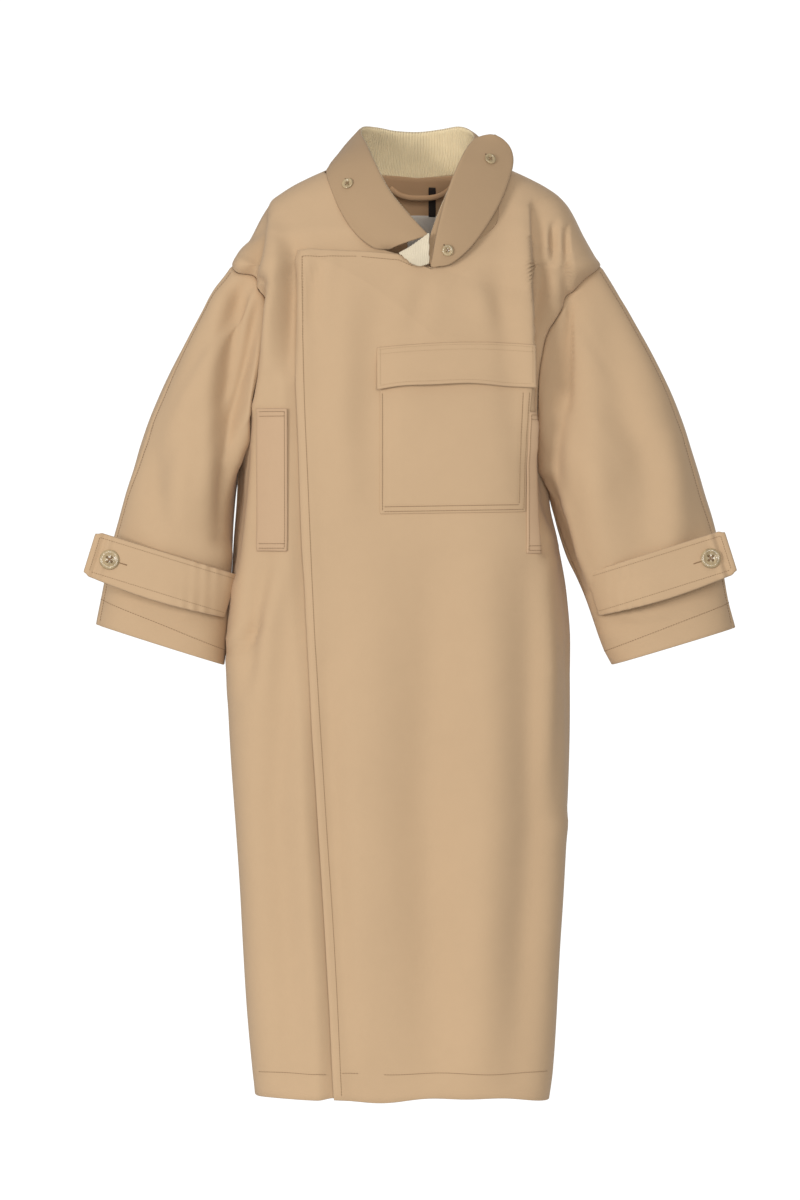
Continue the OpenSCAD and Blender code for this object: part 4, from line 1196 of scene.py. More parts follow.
@dataclass
class Collar:
    """A funnel collar lined with corduroy, and the tab that folds back from its left end."""

    form: BodyForm
    base: tuple[tuple[float, float], ...] = (
        (-20, -80), (-34, -74), (-49, -45), (-57, 0), (-66, 22), (-90, 32), (-112, 29), (-135, 26),
        (-158, 22), (-180, 20), (-202, 22), (-225, 26), (-248, 29), (-270, 32), (-294, 22),
        (-303, 0), (-311, -45), (-326, -74), (-347, -104))
    right_foot: tuple[tuple[float, float], ...] = (
        (-38, -79), (-60, -76), (-86, -53), (-106, -18), (-119, 20))
    rim: tuple[tuple[float, float, float], ...] = (
        (14, -116, -62), (-12, -108, -34), (-37, -92, -2), (-55, -66, 34), (-66, -34, 60),
        (-74, 2, 78), (-71, 26, 88), (-54, 44, 89), (-28, 56, 85), (2, 60, 84), (30, 56, 87),
        (54, 44, 90), (68, 26, 84), (74, 2, 74), (67, -32, 57), (54, -62, 30), (38, -90, -6),
        (23, -106, -42), (6, -118, -93))
    leaf_inner: tuple[tuple[float, float, float], ...] = (
        (17, -122, -102), (20, -124, -86), (25, -123, -62), (33, -118, -30), (43, -107, 4),
        (55, -92, 34), (65, -76, 54), (74, -64, 66), (84, -58, 71), (94, -56, 73))
    leaf_outer: tuple[tuple[float, float, float], ...] = (
        (21, -123, -103), (42, -124, -99), (67, -119, -78), (89, -107, -48), (107, -91, -16),
        (119, -73, 15), (124, -61, 38), (121, -54, 55), (112, -53, 66), (102, -55, 72))
    wale: float = 3.8

    def band(self, i: Array, v: Array, lift: Array | float) -> Array:
        """Places on the collar.

        Args:
            i: places round the neck, from 0 at the right end to 18 at the left.
            v: shares up the collar, from its seam to its rim.
            lift: distances outward.
        Returns:
            Points, in millimetres.
        """
        i, v = np.broadcast_arrays(np.asarray(i, float), np.asarray(v, float))
        p = self.middle(i, v)
        along = self.middle(np.minimum(i + 0.1, 18), v) - self.middle(np.maximum(i - 0.1, 0), v)
        up = self.middle(i, np.minimum(v + 0.02, 1)) - self.middle(i, np.maximum(v - 0.02, 0))
        return p + unit(np.cross(up, along)) * np.asarray(lift + 0.0 * v)[..., None]

    def middle(self, i: Array, v: Array) -> Array:
        """Places on the collar's own surface, bowed a little between its seam and rim."""
        angles = np.array(self.base, float)
        for n, (x, z) in enumerate(self.right_foot):
            angles[n] = (float(self.form.angle_at(x, z)), z)
        foot = self.form.point(angles[:, 0], angles[:, 1]) + self.form.normal(
            angles[:, 0], angles[:, 1]) * 1.5
        low = through(foot)(i / 18.0)
        high = through(self.rim)(i / 18.0)
        p = mix(low, high, v[..., None])
        out = unit(np.stack([p[..., 0], p[..., 1], 0 * v], -1))
        bow = 5.5 * np.sin(np.pi * np.clip(v, 0, 1)) ** 1.2 - 2.0 * np.exp(-((v / 0.12) ** 2))
        wave = 1.3 * np.sin(i * 1.9 + 1.0) * np.sin(np.pi * v)
        return p + out * (bow + wave)[..., None]

    def leaf(self, r: Array, u: Array, lift: Array | float = 0.0) -> Array:
        """Places on the folded-back tab.

        Args:
            r: shares along it, from its fold to its rounded end.
            u: shares across it.
            lift: distances outward.
        Returns:
            Points, in millimetres.
        """
        r, u = np.broadcast_arrays(np.asarray(r, float), np.asarray(u, float))
        p = self.leaf_plain(r, u)
        e = 0.01
        along = self.leaf_plain(np.minimum(r + e, 1), u) - self.leaf_plain(np.maximum(r - e, 0), u)
        across = self.leaf_plain(r, np.minimum(u + e, 1)) - self.leaf_plain(r, np.maximum(u - e, 0))
        return p + unit(np.cross(across, along)) * np.asarray(lift + 0.0 * u)[..., None]

    def leaf_plain(self, r: Array, u: Array) -> Array:
        """Places on the tab, crowned along its middle."""
        p = mix(through(self.leaf_inner)(r), through(self.leaf_outer)(r), u[..., None])
        crown = 2.2 * np.sin(np.pi * u) * smooth(r / 0.12) * smooth((1.02 - r) / 0.1)
        dip = 2.5 * np.exp(-(((r - 0.42) / 0.16) ** 2)) * np.sin(np.pi * u)
        return p + np.array([0.15, -1.0, 0.25]) * (crown - dip)[..., None]

    def build(self) -> None:
        """Makes the collar's outer cloth, its corduroy, its tab and its buttons."""
        for name, node, i0, i1 in (("collar_right_cloth", "collar_right", 0.0, 5.0),
                                   ("collar_back_cloth", "collar_back", 5.0, 13.0),
                                   ("collar_left_cloth", "collar_left", 13.0, 18.0)):
            v, i = np.meshgrid(np.linspace(1, 0, 30), np.linspace(i0, i1, int((i1 - i0) * 12)),
                               indexing="ij")
            grid = self.band(i, v, 2.2 - 1.0 * np.exp(-(((1 - v) / 0.03) ** 2)))
            # The collar's cloth is the darker gabardine, painted shade.
            piece = cloth(name, grid, COLLAR_SHADED_GABARDINE, 2.2, flip=True)
            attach(piece, SHELL)
            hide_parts(node)
        self.corduroy()
        self.tab()
        LOG.info("collar made")

    def ribs(self, across: Array) -> Array:
        """Height of the corduroy's wales at distances across them."""
        return 1.15 * np.abs(np.cos(np.pi * across / self.wale)) ** 0.8

    def corduroy(self) -> None:
        """Makes the corduroy inside the collar and where its left end turns over."""
        i = np.linspace(0.6, 17.6, 1150)
        line = self.band(i, np.full_like(i, 0.6), 0)
        run = np.concatenate([[0], np.linalg.norm(np.diff(line, axis=0), axis=1).cumsum()])
        v = np.linspace(1.012, 0.0, 18)
        vv, ii = np.meshgrid(v, i, indexing="ij")
        rib = self.ribs(run)[None, :] * smooth((vv - 0.02) / 0.04)
        grid = self.band(ii, vv, -1.5 - rib + 1.6 * smooth((vv - 0.985) / 0.02))
        # The lining's brightened colour is painted light for the shaded neck.
        piece = cloth("collar_corduroy_lining", grid, CORDUROY, -1.3, flip=True)
        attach(piece, SHELL)
        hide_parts("collar_corduroy")
        corner = through(((-24, -119, -85), (-8, -122, -76), (14, -124, -60)))
        foot = through(((-8, -120, -99), (2, -123.5, -102), (14, -124, -99)))
        share = np.linspace(0, 1, 120)
        vv, ss = np.meshgrid(np.linspace(0, 1, 22), share, indexing="ij")
        grid = mix(corner(ss), foot(ss), vv[..., None])
        grid[..., 1] -= 0.6 * self.ribs((ss * 44.0) + vv * 10.0) + 1.2 * np.sin(np.pi * vv)
        turned = cloth("collar_corner_corduroy", grid, CREAM_CORDUROY, 1.6)
        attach(turned, SHELL)

    def tab(self) -> None:
        """Makes the folded-back tab and the buttons of the collar."""
        r, u = np.meshgrid(np.linspace(0, 1, 90), np.linspace(0, 1, 26), indexing="ij")
        grid = self.leaf(r, u)
        # The tab's cloth is the darker gabardine, painted shade.
        piece = cloth("throat_tab_cloth", grid, COLLAR_SHADED_GABARDINE, 3.2, flip=True)
        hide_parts("throat_tab")
        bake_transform(piece)
        places = []
        for r0, u0 in ((0.165, 0.5), (0.625, 0.52)):
            a = self.leaf(np.array([r0]), np.array([u0]))[0]
            n = unit(self.leaf(np.array([r0]), np.array([u0]), 1.0)[0] - a)
            places.append((a, n))
        for n, (at, out) in enumerate(places):
            button = Button(15.0, 2.6, 0.5)
            made = button.build(f"throat_tab_button_{n + 1}", at, out, "collar_tab")
            if n == 0:
                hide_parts("throat_tab_buttons")
                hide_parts("throat_tab_threads")
        at = self.band(np.array([3.05]), np.array([0.42]), 2.2)[0]
        out = unit(self.band(np.array([3.05]), np.array([0.42]), 3.2)[0] - at)
        made = Button(15.0, 2.6, 0.5).build("collar_wing_button", at, out, SHELL)
        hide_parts("collar_button")
        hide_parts("collar_button_thread")


# ---- Buttons ---------------------------------------------------------------------------------


@dataclass(frozen=True)
class Button:
    """A four-hole horn button with a raised rim, sewn on with a cross of thread."""

    diameter: float
    thick: float
    stand: float
    eyelet: bool = True
    eyelet_way: tuple[float, float] = (-0.55, 0.85)

    def profile(self) -> list[tuple[float, float]]:
        """Radius and height of points from the middle of the face, over the rim, to the back."""
        r, t = self.diameter / 2, self.thick
        return [(0.0, 0.60 * t), (0.30 * r, 0.62 * t), (0.52 * r, 0.68 * t), (0.62 * r, 0.86 * t),
                (0.70 * r, 1.0 * t), (0.80 * r, 1.02 * t), (0.91 * r, 0.9 * t), (0.985 * r, 0.66 * t),
                (1.0 * r, 0.44 * t), (0.95 * r, 0.2 * t), (0.8 * r, 0.04 * t), (0.5 * r, 0.0),
                (0.0, 0.0)]

    def frame_of(self, out: Array) -> Array:
        """Sideways, upward and outward directions of a button that faces out."""
        n = unit(np.asarray(out, float))
        side = unit(np.cross([0.0, 0.0, 1.0], n))
        return np.stack([side, np.cross(n, side), n])

    def build(self, name: str, at: Array, out: Array, body: str) -> list[bpy.types.Object]:
        """Makes the button, its thread and the eyelet beside it.

        Args:
            name: the piece's name.
            at: the place on the cloth, in millimetres.
            out: the cloth's outward direction.
            body: the body that it moves with.
        Returns:
            The button, its thread and its eyelet, if it has one.
        """
        axes = self.frame_of(out)
        foot = np.asarray(at) + axes[2] * self.stand
        sides, points, faces = 56, [], []
        rings = self.profile()
        for radius, height in rings:
            turn = np.arange(sides) * 2 * np.pi / sides
            local = np.stack([radius * np.cos(turn), radius * np.sin(turn), 0 * turn + height], 1)
            points.append(local)
        for r in range(len(rings) - 1):
            for k in range(sides):
                k2 = (k + 1) % sides
                faces.append((r * sides + k, (r + 1) * sides + k, (r + 1) * sides + k2,
                              r * sides + k2))
        local = np.vstack(points)
        button = mesh_object(name, local @ axes + foot, faces, None, HORN)
        weld(button)
        self.drill(button, axes, foot)
        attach(button, body)
        made = [button, self.thread(name, axes, foot, body)]
        if self.eyelet:
            made.append(self.keyhole(name, axes, np.asarray(at), body))
        return made

    def hole_places(self) -> list[tuple[float, float]]:
        """The four holes' places on the face."""
        reach = self.diameter * 0.105
        return [(reach * a, reach * b) for a in (-1, 1) for b in (-1, 1)]

    def drill(self, button: bpy.types.Object, axes: Array, foot: Array) -> None:
        """Cuts the four holes.

        Args:
            button: the button.
            axes: its sideways, upward and outward directions.
            foot: the middle of its back.
        """
        work = bmesh.new()
        radius, sides = self.diameter * 0.058, 16
        for x, y in self.hole_places():
            turn = np.arange(sides) * 2 * np.pi / sides
            loops = []
            for h in (-1.0, self.thick + 1.0):
                local = np.stack([x + radius * np.cos(turn), y + radius * np.sin(turn),
                                  0 * turn + h], 1)
                loops.append([work.verts.new(p) for p in ((local @ axes + foot) * MM).tolist()])
            work.faces.new(loops[0][::-1])
            work.faces.new(loops[1])
            for k in range(sides):
                k2 = (k + 1) % sides
                work.faces.new((loops[0][k], loops[0][k2], loops[1][k2], loops[1][k]))
        bmesh.ops.recalc_face_normals(work, faces=work.faces)
        mesh = bpy.data.meshes.new("drill")
        work.to_mesh(mesh)
        work.free()
        drill = bpy.data.objects.new("drill", mesh)
        bpy.context.scene.collection.objects.link(drill)
        cut = button.modifiers.new("holes", "BOOLEAN")
        cut.operation = "DIFFERENCE"
        cut.solver = "EXACT"
        cut.object = drill
        bpy.context.view_layer.update()
        done = bpy.data.meshes.new_from_object(
            button.evaluated_get(bpy.context.evaluated_depsgraph_get()))
        button.modifiers.clear()
        button.data = done
        done.shade_smooth()
        bpy.data.objects.remove(drill)

    def thread(self, name: str, axes: Array, foot: Array, body: str) -> bpy.types.Object:
        """Makes the crossed thread through the holes and the shank below.

        Args:
            name: the button's name.
            axes: its sideways, upward and outward directions.
            foot: the middle of its back.
            body: the body that it moves with.
        Returns:
            The thread.
        """
        places = self.hole_places()
        points, faces = [], []
        top, low = self.thick * 0.72, -self.stand - 0.4
        for a, b in ((places[0], places[3]), (places[1], places[2])):
            line = [(*a, low), (*a, top - 0.2), (a[0] * 0.6, a[1] * 0.6, top + 0.45), (0, 0, top + 0.6),
                    (b[0] * 0.6, b[1] * 0.6, top + 0.45), (*b, top - 0.2), (*b, low)]
            tube(points, faces, through(line)(np.linspace(0, 1, 26)), self.diameter * 0.035, 8)
        piece = mesh_object(f"{name}_thread", np.vstack(points) @ axes + foot, faces, None, THREAD)
        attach(piece, body)
        return piece

    def keyhole(self, name: str, axes: Array, at: Array, body: str) -> bpy.types.Object:
        """Makes the buttonhole's end beside the button as a near-black tube, a painted shadow of its
        opening.

        Args:
            name: the button's name.
            axes: its sideways, upward and outward directions.
            at: the middle of the buttonhole, on the cloth.
            body: the body that it moves with.
        Returns:
            The buttonhole's end, as a tube of painted shadow.
        """
        wx, wy = unit(np.array(self.eyelet_way))
        reach = self.diameter * 0.5
        end = reach + self.diameter * 0.12
        points, faces = [], []
        slit = [(wx * reach * 0.7, wy * reach * 0.7, 0.15), (wx * end, wy * end, 0.15)]
        tube(points, faces, through(slit)(np.linspace(0, 1, 6)), self.diameter * 0.05, 10)
        # The near-black tube is painted shadow of the buttonhole's opening.
        piece = mesh_object(f"{name}_eyelet", np.vstack(points) @ axes + at, faces, None,
                            EYELET_PAINTED_SHADOW)
        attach(piece, body)
        return piece


def tube(points: list[Array], faces: list[tuple[int, ...]], path: Array, radius: float | Array,
         sides: int, flat: float = 1.0) -> None:
    """Adds a closed tube along a path to lists of points and faces.

    Args:
        points: blocks of points so far.
        faces: faces so far.
        path: the tube's middle line.
        radius: its radius, or one for each point of the path.
        sides: how many sides it has.
        flat: how much it is flattened.
    """
    start = sum(len(b) for b in points)
    d = unit(np.gradient(path, axis=0))
    ref = np.array([0.0, 1.0, 0.0]) if abs(d[:, 1]).mean() < 0.8 else np.array([1.0, 0.0, 0.0])
    side = unit(np.cross(d, ref))
    up = np.cross(side, d)
    turn = np.arange(sides) * 2 * np.pi / sides
    rad = np.broadcast_to(np.asarray(radius, float), (len(path),))[:, None, None]
    block = path[:, None] + rad * (np.cos(turn)[None, :, None] * side[:, None]
                                   + flat * np.sin(turn)[None, :, None] * up[:, None])
    points.append(block.reshape(-1, 3))
    for r in range(len(path) - 1):
        for k in range(sides):
            k2 = (k + 1) % sides
            faces.append((start + r * sides + k, start + (r + 1) * sides + k,
                          start + (r + 1) * sides + k2, start + r * sides + k2))
    faces.append(tuple(start + k for k in range(sides)))
    faces.append(tuple(start + (len(path) - 1) * sides + k for k in reversed(range(sides))))


# ---- Cuff tabs -------------------------------------------------------------------------------


@dataclass
class CuffTab:
    """A tab that wraps the front of a sleeve and ends past its edge, with a button."""

    sleeve: Sleeve
    width: float = 56.0
    share: float = 0.80
    hinge_x: float = 265.0
    hinge_z: float = -513.2

    @property
    def ends(self) -> tuple[tuple[float, float], tuple[float, float]]:
        """The tab's middle line: its inner end and its outer end, as distance out and level."""
        if self.sleeve.side is Side.LEFT:
            return (227.0, -526.0), (405.5, -470.0)
        return (243.0, -528.0), (425.0, -472.0)

    def place(self, s: Array, w: Array, lift: Array | float = 0.0) -> Array:
        """Places on the tab.

        Args:
            s: shares along it, from its sewn end.
            w: distances down from its middle line.
            lift: distances outward.
        Returns:
            Points, in millimetres.
        """
        a, b = (np.array(e) for e in self.ends)
        way = unit(b - a)
        down = np.array([way[1], -way[0]])
        p = a + (b - a) * s[..., None] + down * w[..., None]
        x, z = p[..., 0], p[..., 1]
        y = self.front_y(x, z)
        sag = 2.2 * np.sin(np.pi * s) * (w / self.width * 2) ** 2
        free = smooth((s - 0.86) / 0.14)
        low = smooth((w / self.width + 0.1) / 0.6)
        stand = 5.5 * low * np.exp(-(((s - 0.30) / 0.26) ** 2)) + 1.5 * low
        pucker = 0.9 * np.sin(s * 78.0 + w / 9.0) * np.exp(-(((s - 0.2) / 0.12) ** 2))
        pucker = pucker * (0.35 + 0.65 * (np.abs(w) / self.width * 2) ** 3)
        y = y - 3.6 - np.asarray(lift) - 1.2 * np.sin(np.pi * s) - sag * 0.5 - stand - pucker
        y = y - 1.6 * np.sin(2.6 * np.pi * free)
        return np.stack([self.sleeve.side.value * x, y, z], -1)

    def front_y(self, x: Array, z: Array) -> Array:
        """The depth of a smooth cylinder over the sleeve's front, by distance out and level."""
        a, b = (np.array(e) for e in self.ends)
        way = unit(b - a)
        along = (x - a[0]) * way[0] + (z - a[1]) * way[1]
        half = 92.0
        part = np.clip((along - half) / (half + 6), -0.995, 0.995)
        depth = 66.0
        inner = -(depth) * (1 - np.abs(part) ** 2.35) ** (1 / 2.35) - 11.0
        return np.where(part > 0, -depth - 11.0 + 5.0 * np.clip(part, 0, 1) ** 3, inner)

    def build(self) -> None:
        """Makes the tab, its stitching, its button and its buttonhole."""
        side = self.sleeve.side
        s, v = np.meshgrid(np.linspace(0, 1, 120), np.linspace(-1, 1, 24), indexing="ij")
        w = v * self.width / 2 * (1 - 0.10 * smooth((s - 0.955) / 0.045) * np.abs(v) ** 3)
        w = w + 5.0 * np.sin(np.pi * s) * (0.5 + 0.5 * v)
        grid = self.place(s, w)
        piece = cloth(f"cuff_tab_{side.word}_cloth", grid, GABARDINE, 3.0,
                      flip=side is Side.LEFT)
        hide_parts(f"cuff_tab_{side.word}", f"cuff_tab_root_{side.word}")
        self.bend(piece)
        a = np.linspace(0.01, 0.965, 90)
        edge = self.width / 2 - 5.0
        paths = [(a, np.full_like(a, -edge)), (a, np.full_like(a, edge)),
                 (np.full(24, 0.968), np.linspace(-edge, edge, 24))]
        runs = [(self.place(p, q, 0.15), np.tile([0.0, -1.0, 0.0], (len(p), 1))) for p, q in paths]
        stitches = StitchRun(3.2, 2.4, 0.3).sew(f"cuff_tab_{side.word}_stitching", runs)
        self.bend(stitches)
        spot = 0.855 if side is Side.LEFT else 0.86
        at = self.place(np.array([spot]), np.array([1.0]))[0]
        button = Button(26.0, 3.4, 0.6, False)
        made = button.build(f"cuff_button_{side.word}_horn", at, np.array([0.05, -1.0, 0.12]),
                            f"tab_{side.word}")
        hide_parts(f"cuff_button_{side.word}")
        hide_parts(f"cuff_button_thread_{side.word}")
        hole = np.linspace(spot - 0.125, spot - 0.03, 14)
        line = self.place(hole, np.full_like(hole, 1.0), 0.2)
        points: list[Array] = []
        faces: list[tuple[int, ...]] = []
        tube(points, faces, line, 0.75, 8)
        slit = mesh_object(f"cuff_buttonhole_{side.word}", np.vstack(points), faces, None, THREAD)
        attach(slit, f"tab_{side.word}")
        LOG.info("%s cuff tab made", side.word)

    def bend(self, piece: bpy.types.Object) -> None:
        """Bakes a piece's placing into its mesh."""
        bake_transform(piece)


# ---- Pockets ---------------------------------------------------------------------------------


@dataclass
class Pockets:
    """The flapped chest pocket and the two welted side pockets."""

    form: BodyForm
    left: float = -48.0
    right: float = 138.0
    flap_top: float = -201.0
    bottom: float = -421.0

    def patch_grid(self) -> Array:
        """Places of the patch on the chest, its edges down on the coat."""
        v, u = np.meshgrid(np.linspace(0, 1, 84), np.linspace(0, 1, 84), indexing="ij")
        x = mix(self.left, self.right + 4.5 * (1 - v), u)
        z = mix(-236.0, self.bottom + 3.0 * u, v)
        edge = np.minimum.reduce([x - self.left, (1 - u) * 186.0, (1 - v) * 185.0])
        lift = 2.5 + 1.5 * smooth(edge / 30.0) + 0.9 * smooth((z + 290) / 50.0)
        for line in (2.4, 8.4):
            lift = lift - 0.55 * np.exp(-(((edge - line) / 1.5) ** 2))
        lift = lift + 0.8 * np.sin(x / 37.0 + z / 60.0) * smooth(edge / 30)
        return self.form.front(x, z, lift)

    def flap_grid(self) -> Array:
        """Places of the flap, from its sewn top to its wavy lower edge."""
        v, x = np.meshgrid(np.linspace(0, 1, 34), np.linspace(-52.0, 147.0, 110), indexing="ij")
        left = np.maximum(78.0 - x, 0) / 130.0
        right = np.maximum(x - 78.0, 0) / 70.0
        top = self.flap_top - 7.0 * left**2 - 3.0 * right**2
        low = -251.5 - 8.0 * (np.maximum(38.0 - x, 0) / 90.0) ** 1.6
        low = low - 5.0 * (np.maximum(x - 38.0, 0) / 109.0) ** 1.6 - 0.9 * np.sin(x / 15.0)
        z = mix(top, low, v)
        x = x - 4.0 * v * smooth((x - 130) / 17.0)
        lift = 2.6 + 2.4 * smooth(v / 0.5) + 8.0 * v**2.5 * (1 + 0.35 * np.sin(x / 30.0 + 1.0))
        for line in (0.035, 0.155, 0.93):
            lift = lift - 0.5 * np.exp(-(((v - line) / 0.028) ** 2))
        return self.form.front(x, z, lift)

    def build(self) -> None:
        """Makes the pockets and their stitching."""
        grid = self.patch_grid()
        patch = cloth("chest_pocket_cloth", grid, GABARDINE, 2.0)
        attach(patch, SHELL)
        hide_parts("chest_pocket")
        grid = self.flap_grid()
        flap = cloth("chest_flap_cloth", grid, GABARDINE, 3.0)
        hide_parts("pocket_flap")
        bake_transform(flap)
        self.stitch_chest()
        for side in Side:
            self.welt(side)
            self.bag(side)
        LOG.info("pockets made")

    def run(self, x: Array, z: Array, lift: float) -> tuple[Array, Array]:
        """A stitch path on the front, and the outward directions along it."""
        angle = self.form.angle_at(x, z)
        return self.form.place(angle, z, lift), self.form.normal(angle, z)

    def stitch_chest(self) -> None:
        """Sews the chest pocket's double stitching.
        """
        runs = []
        for inset in (2.2, 8.4):
            z = np.linspace(-264, self.bottom + 3 + inset, 80)
            x = self.right - inset + 4.5 * (z - self.bottom) / 185.0
            runs.append(self.run(x, z, 2.75 + 0.045 * inset))
            x = np.linspace(self.right - inset, self.left + 2, 90)
            z = self.bottom + inset + 3.0 * (x - self.left) / 186.0
            runs.append(self.run(x, z, 2.75 + 0.045 * inset))
        z = np.linspace(-266, self.bottom + 2, 80)
        runs.append(self.run(np.full_like(z, self.left + 2.2), z, 2.8))
        sewn = StitchRun().sew("chest_pocket_stitching", runs)
        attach(sewn, SHELL)
        grid = self.flap_grid()
        n = grid_normals(grid)
        runs = [(grid[1, 1:-1] + n[1, 1:-1] * 0.1, n[1, 1:-1]),
                (grid[5, 1:-1] + n[5, 1:-1] * 0.1, n[5, 1:-1]),
                (grid[31, 2:-2] + n[31, 2:-2] * 0.1, n[31, 2:-2]),
                (grid[1:31, 2] + n[1:31, 2] * 0.1, n[1:31, 2]),
                (grid[1:31, -3] + n[1:31, -3] * 0.1, n[1:31, -3])]
        sewn = StitchRun().sew("chest_flap_stitching", runs)
        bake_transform(sewn)

    def welt_lines(self, side: Side) -> tuple[float, float, float, float]:
        """The inner and outer distances and the top and bottom levels of a welt."""
        if side is Side.RIGHT:
            return -169.0, -207.0, -286.0, -469.0
        return 141.0, 163.0, -290.0, -472.0

    def welt(self, side: Side) -> None:
        """Makes one side pocket's welt and its stitching."""
        inner, outer, top, bottom = self.welt_lines(side)
        z, u = np.meshgrid(np.linspace(top, bottom, 60), np.linspace(0, 1, 16), indexing="ij")
        x = mix(inner, outer, u)
        lift = 2.7 + 0.8 * np.sin(np.pi * u)
        grid = self.form.front(x, z, lift)
        piece = cloth(f"welt_{side.word}_cloth", grid, WELT_CLOTH, 2.2, flip=side is Side.RIGHT)
        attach(piece, SHELL)
        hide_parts(f"welt_{side.word}")
        runs = []
        for edge, start, stop in ((top - 3, 0.06, 0.94), (top - 9, 0.06, 0.94), (bottom + 3, 0.06, 0.94),
                                  (bottom + 9, 0.06, 0.94)):
            s = np.linspace(start, stop, 20)
            xs = mix(inner, outer, s)
            runs.append(self.run(xs, np.full_like(xs, edge), 4.1))
        z = np.linspace(top - 3, bottom + 3, 60)
        runs.append(self.run(np.full_like(z, mix(inner, outer, 0.07)), z, 3.2))
        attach(StitchRun().sew(f"welt_{side.word}_stitching", runs), SHELL)

    def bag(self, side: Side) -> None:
        """Makes one side pocket's bag, two flat layers inside the coat."""
        low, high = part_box(f"pocket_bag_{side.word}")
        low, high = np.array(low) / MM, np.array(high) / MM
        v, u = np.meshgrid(np.linspace(0, 1, 36), np.linspace(0, 1, 24), indexing="ij")
        round_corner = smooth((0.22 - v) / 0.22) * 0.16
        span = mix(low[0], high[0], 0.5 + (u - 0.5) * (1 - round_corner))
        z = mix(low[2] + 2, high[2] - 2, v)
        puff = np.sin(np.pi * u) ** 0.6 * np.sin(np.pi * np.clip(v, 0.02, 0.96)) ** 0.6
        for n, sign in enumerate((-1.0, 1.0)):
            y = (low[1] + high[1]) / 2 + sign * (1.2 + 3.6 * puff) + 0.8 * np.sin(z / 40.0)
            grid = np.stack([span, y, z], -1)
            piece = cloth(f"pocket_bag_{side.word}_layer_{n + 1}", grid, INNER, 0.9,
                          flip=(sign < 0))
            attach(piece, SHELL)
            if n == 0:
                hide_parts(f"pocket_bag_{side.word}")


# ---- Hems, seams and the hanging loop --------------------------------------------------------


@dataclass
class Trims:
    """Hem turn-ups, topstitching, seam lines and the loop that the coat hangs by."""

    form: BodyForm
    fronts: Fronts
    hem_turn: float = 33.0
    loop_span: float = 80.0

    def build(self, sleeves: Sequence[Sleeve]) -> None:
        """Makes every trim.

        Args:
            sleeves: the two sleeves, whose cuffs are stitched.
        """
        self.turnups()
        self.edge_stitching()
        self.cuff_stitching(sleeves)
        self.loop()
        LOG.info("trims made")

    def turnups(self) -> None:
        """Makes the hem's turned-up band in three lengths."""
        for name, a0, a1, lift in (("hem_turnup_left", -10.0, 88.0, -3.0),
                                   ("hem_turnup_right", -89.0, -8.0, -9.5),
                                   ("hem_turnup_back", 92.0, 268.0, -3.2)):
            z, a = np.meshgrid(np.linspace(-1178 + self.hem_turn, -1176, 8), np.linspace(a0, a1, 60),
                               indexing="ij")
            depth = np.where(a < -70, mix(lift, -3.2, smooth((-a - 70) / 15)), lift)
            grid = self.form.place(a, z, depth)
            piece = cloth(f"{name}_cloth", grid, INNER, 1.3)
            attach(piece, SHELL)
            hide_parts(name)

    def run(self, x: Array, z: Array, lift: Array | float) -> tuple[Array, Array]:
        """A stitch path on the front, and the outward directions along it."""
        angle = self.form.angle_at(x, z)
        return self.form.place(angle, z, lift), self.form.normal(angle, z)

    def edge_stitching(self) -> None:
        """Sews the wrap's free edge, its top edge and the hem."""
        sew = StitchRun()
        z = np.linspace(-88, -1176, 330)
        x = self.fronts.edge_x(z) + 10
        moving = [self.run(x, z, self.fronts.seat(x, z) + 0.1)]
        x = np.linspace(-150, -78, 30)
        z = np.full_like(x, -88.5)
        moving.append(self.run(x, z, self.fronts.seat(x, z) + 0.1))
        x = np.linspace(-98, -76, 10)
        z = -1147 + 1.2 * np.sin(x / 21.0)
        moving.append(self.run(x, z, self.fronts.seat(x, z) + 0.1))
        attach(sew.sew("wrap_edge_stitching", moving), "front_wrap")
        x = np.linspace(-44, 168, 120)
        z = -1147 + 1.2 * np.sin(x / 21.0)
        still = [self.run(x, z, self.fronts.seat(x, z) + 0.1)]
        x = np.linspace(-73, -6, 26)
        z = np.interp(x, [-73, -24, -6], [-89.0, -94.0, -102.0])
        still.append(self.run(x, z, self.fronts.seat(x, z) + 0.1))
        x = np.linspace(-206, -118, 50)
        z = -1147 + 1.0 * np.sin(x / 17.0)
        still.append(self.run(x, z, 0.1))
        a = np.linspace(95, 265, 200)
        z = np.full_like(a, -1147.0)
        still.append((self.form.place(a, z, 0.1), self.form.normal(a, z)))
        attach(sew.sew("hem_stitching", still), SHELL)

    def cuff_stitching(self, sleeves: Sequence[Sleeve]) -> None:
        """Sews the turn-up of each cuff and the over-arm seam of each sleeve."""
        for sleeve in sleeves:
            turn = np.linspace(2, 358, 160)
            k = np.full_like(turn, 0.935)
            path = sleeve.place(turn, k, 0.1)
            out = unit(sleeve.place(turn, k, 1.1) - path)
            runs = [(path, out)]
            k = np.linspace(0.01, 0.99, 150)
            turn = np.full_like(k, 23.0)
            path = sleeve.place(turn, k, 0.1)
            out = unit(sleeve.place(turn, k, 1.1) - path)
            runs.append((path, out))
            sleeve.bend(StitchRun().sew(f"sleeve_{sleeve.side.word}_stitching", runs))

    def loop(self) -> None:
        """Makes the loop of folded cloth inside the back of the neck."""
        low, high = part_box("hang_loop")
        low, high = np.array(low) / MM, np.array(high) / MM
        middle = (low[0] + high[0]) / 2
        y_end, z_end = high[1] - 4.0, high[2] - 4.0
        s = np.linspace(-1, 1, 60)
        path = np.stack([middle + (self.loop_span / 2) * s, y_end - 7 * (1 - s * s),
                         z_end - 14 * (1 - np.abs(s) ** 3)], 1)
        points: list[Array] = []
        faces: list[tuple[int, ...]] = []
        tube(points, faces, path, 3.6, 20, 0.8)
        piece = mesh_object("hanging_loop_cloth", np.vstack(points), faces, None, INNER)
        weld(piece)
        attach(piece, "hanging_loop")
        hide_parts("hang_loop")


# ---- The studio ------------------------------------------------------------------------------


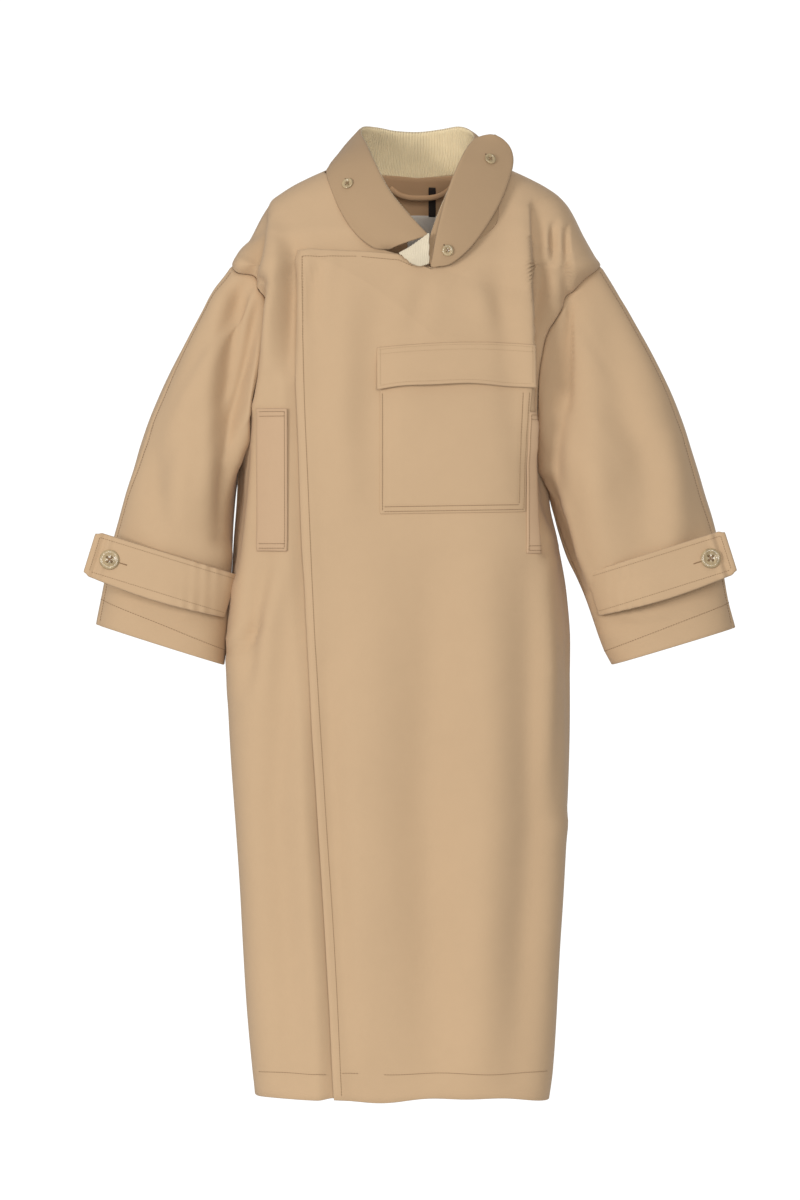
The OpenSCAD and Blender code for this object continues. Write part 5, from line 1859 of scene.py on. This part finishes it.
@dataclass(frozen=True)
class Studio:
    """A pale room with large soft lights, and the camera."""

    look_x: float = -0.023
    look_z: float = -0.533
    distance: float = 8.0
    half_height: float = 0.78
    plane_y: float = -0.06
    floor_z: float = -1.5

    def camera(self) -> None:
        """Adds the level camera in front of the coat."""
        data = bpy.data.cameras.new("camera")
        data.sensor_fit = "VERTICAL"
        data.sensor_height = 24.0
        data.lens = 12.0 * (self.distance + self.plane_y) / self.half_height
        data.clip_end = 60.0
        eye = bpy.data.objects.new("camera", data)
        eye.location = (self.look_x, -self.distance, self.look_z)
        eye.rotation_euler = (math.radians(90), 0.0, 0.0)
        bpy.context.scene.collection.objects.link(eye)
        bpy.context.scene.camera = eye

    def room(self) -> None:
        """Adds the round pale floor below the coat."""
        turn = np.arange(96) * 2 * np.pi / 96
        points = [(0.0, 0.0, self.floor_z * 1000.0)]
        points += [(1150.0 * math.cos(t), 1150.0 * math.sin(t), self.floor_z * 1000.0) for t in turn]
        faces = [(0, k + 1, (k + 1) % 96 + 1) for k in range(96)]
        mesh = bpy.data.meshes.new("studio_floor")
        mesh.from_pydata((np.array(points) * MM).tolist(), [], faces)
        mesh.shade_smooth()
        floor = bpy.data.objects.new("studio_floor", mesh)
        bpy.context.scene.collection.objects.link(floor)
        paint = bpy.data.materials.new("Pale paper")
        paint.use_nodes = True
        shader = next(n for n in paint.node_tree.nodes if n.type == "BSDF_PRINCIPLED")
        shader.inputs["Base Color"].default_value = (0.95, 0.95, 0.95, 1)
        shader.inputs["Roughness"].default_value = 0.95
        mesh.materials.append(paint)

    def lights(self) -> None:
        """Adds the lamps and the room's own light."""
        scene = bpy.context.scene
        scene.view_settings.view_transform = "Standard"
        world = bpy.data.worlds.new("studio_light")
        world.use_nodes = True
        back = next(n for n in world.node_tree.nodes if n.type == "BACKGROUND")
        back.inputs["Color"].default_value = (1, 1, 1, 1)
        links = world.node_tree.links
        path = world.node_tree.nodes.new("ShaderNodeLightPath")
        level = maths(world.node_tree, "MULTIPLY_ADD", path.outputs["Is Camera Ray"], 0.68, 0.42)
        links.new(level, back.inputs["Strength"])
        scene.world = world
        for name, where, size, power in (("key", (-2.9, -3.8, 0.0), 1.3, 96.0),
                                         ("front", (0.5, -6.0, 0.5), 1.8, 128.0),
                                         ("top", (0.2, -0.9, 3.2), 2.2, 8.0),
                                         ("behind", (1.2, 3.8, 1.0), 2.4, 40.0)):
            data = bpy.data.lights.new(name, "AREA")
            data.size = size
            data.energy = power
            lamp = bpy.data.objects.new(name, data)
            lamp.location = where
            aim = np.array([0.0, 0.0, -0.5]) - np.array(where)
            lamp.rotation_euler = Vector(aim.tolist()).to_track_quat("-Z", "Y").to_euler()
            scene.collection.objects.link(lamp)


def dress_kept_parts() -> None:
    """Gives the concealed buttons and threads, kept from the CAD, their finishes."""
    for name, finish in (("fly_buttons", HORN), ("fly_button_threads", THREAD)):
        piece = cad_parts[name]
        piece = piece if isinstance(piece, bpy.types.Object) else bpy.data.objects[name]
        for spot in piece.material_slots:
            spot.material = finish.material()


def main() -> None:
    """Builds the coat, piece by piece."""
    logging.basicConfig(level=logging.INFO, format="%(name)s: %(message)s")
    studio = Studio()
    studio.camera()
    form = BodyForm()
    fronts = Fronts(form)
    fronts.build()
    Backs(form).build()
    sleeves = [Sleeve(form, side) for side in Side]
    for sleeve in sleeves:
        sleeve.build()
        CuffTab(sleeve).build()
    Collar(form).build()
    Pockets(form).build()
    Trims(form, fronts).build(sleeves)
    dress_kept_parts()
    studio.room()
    studio.lights()


if __name__ == "__main__":
    main()
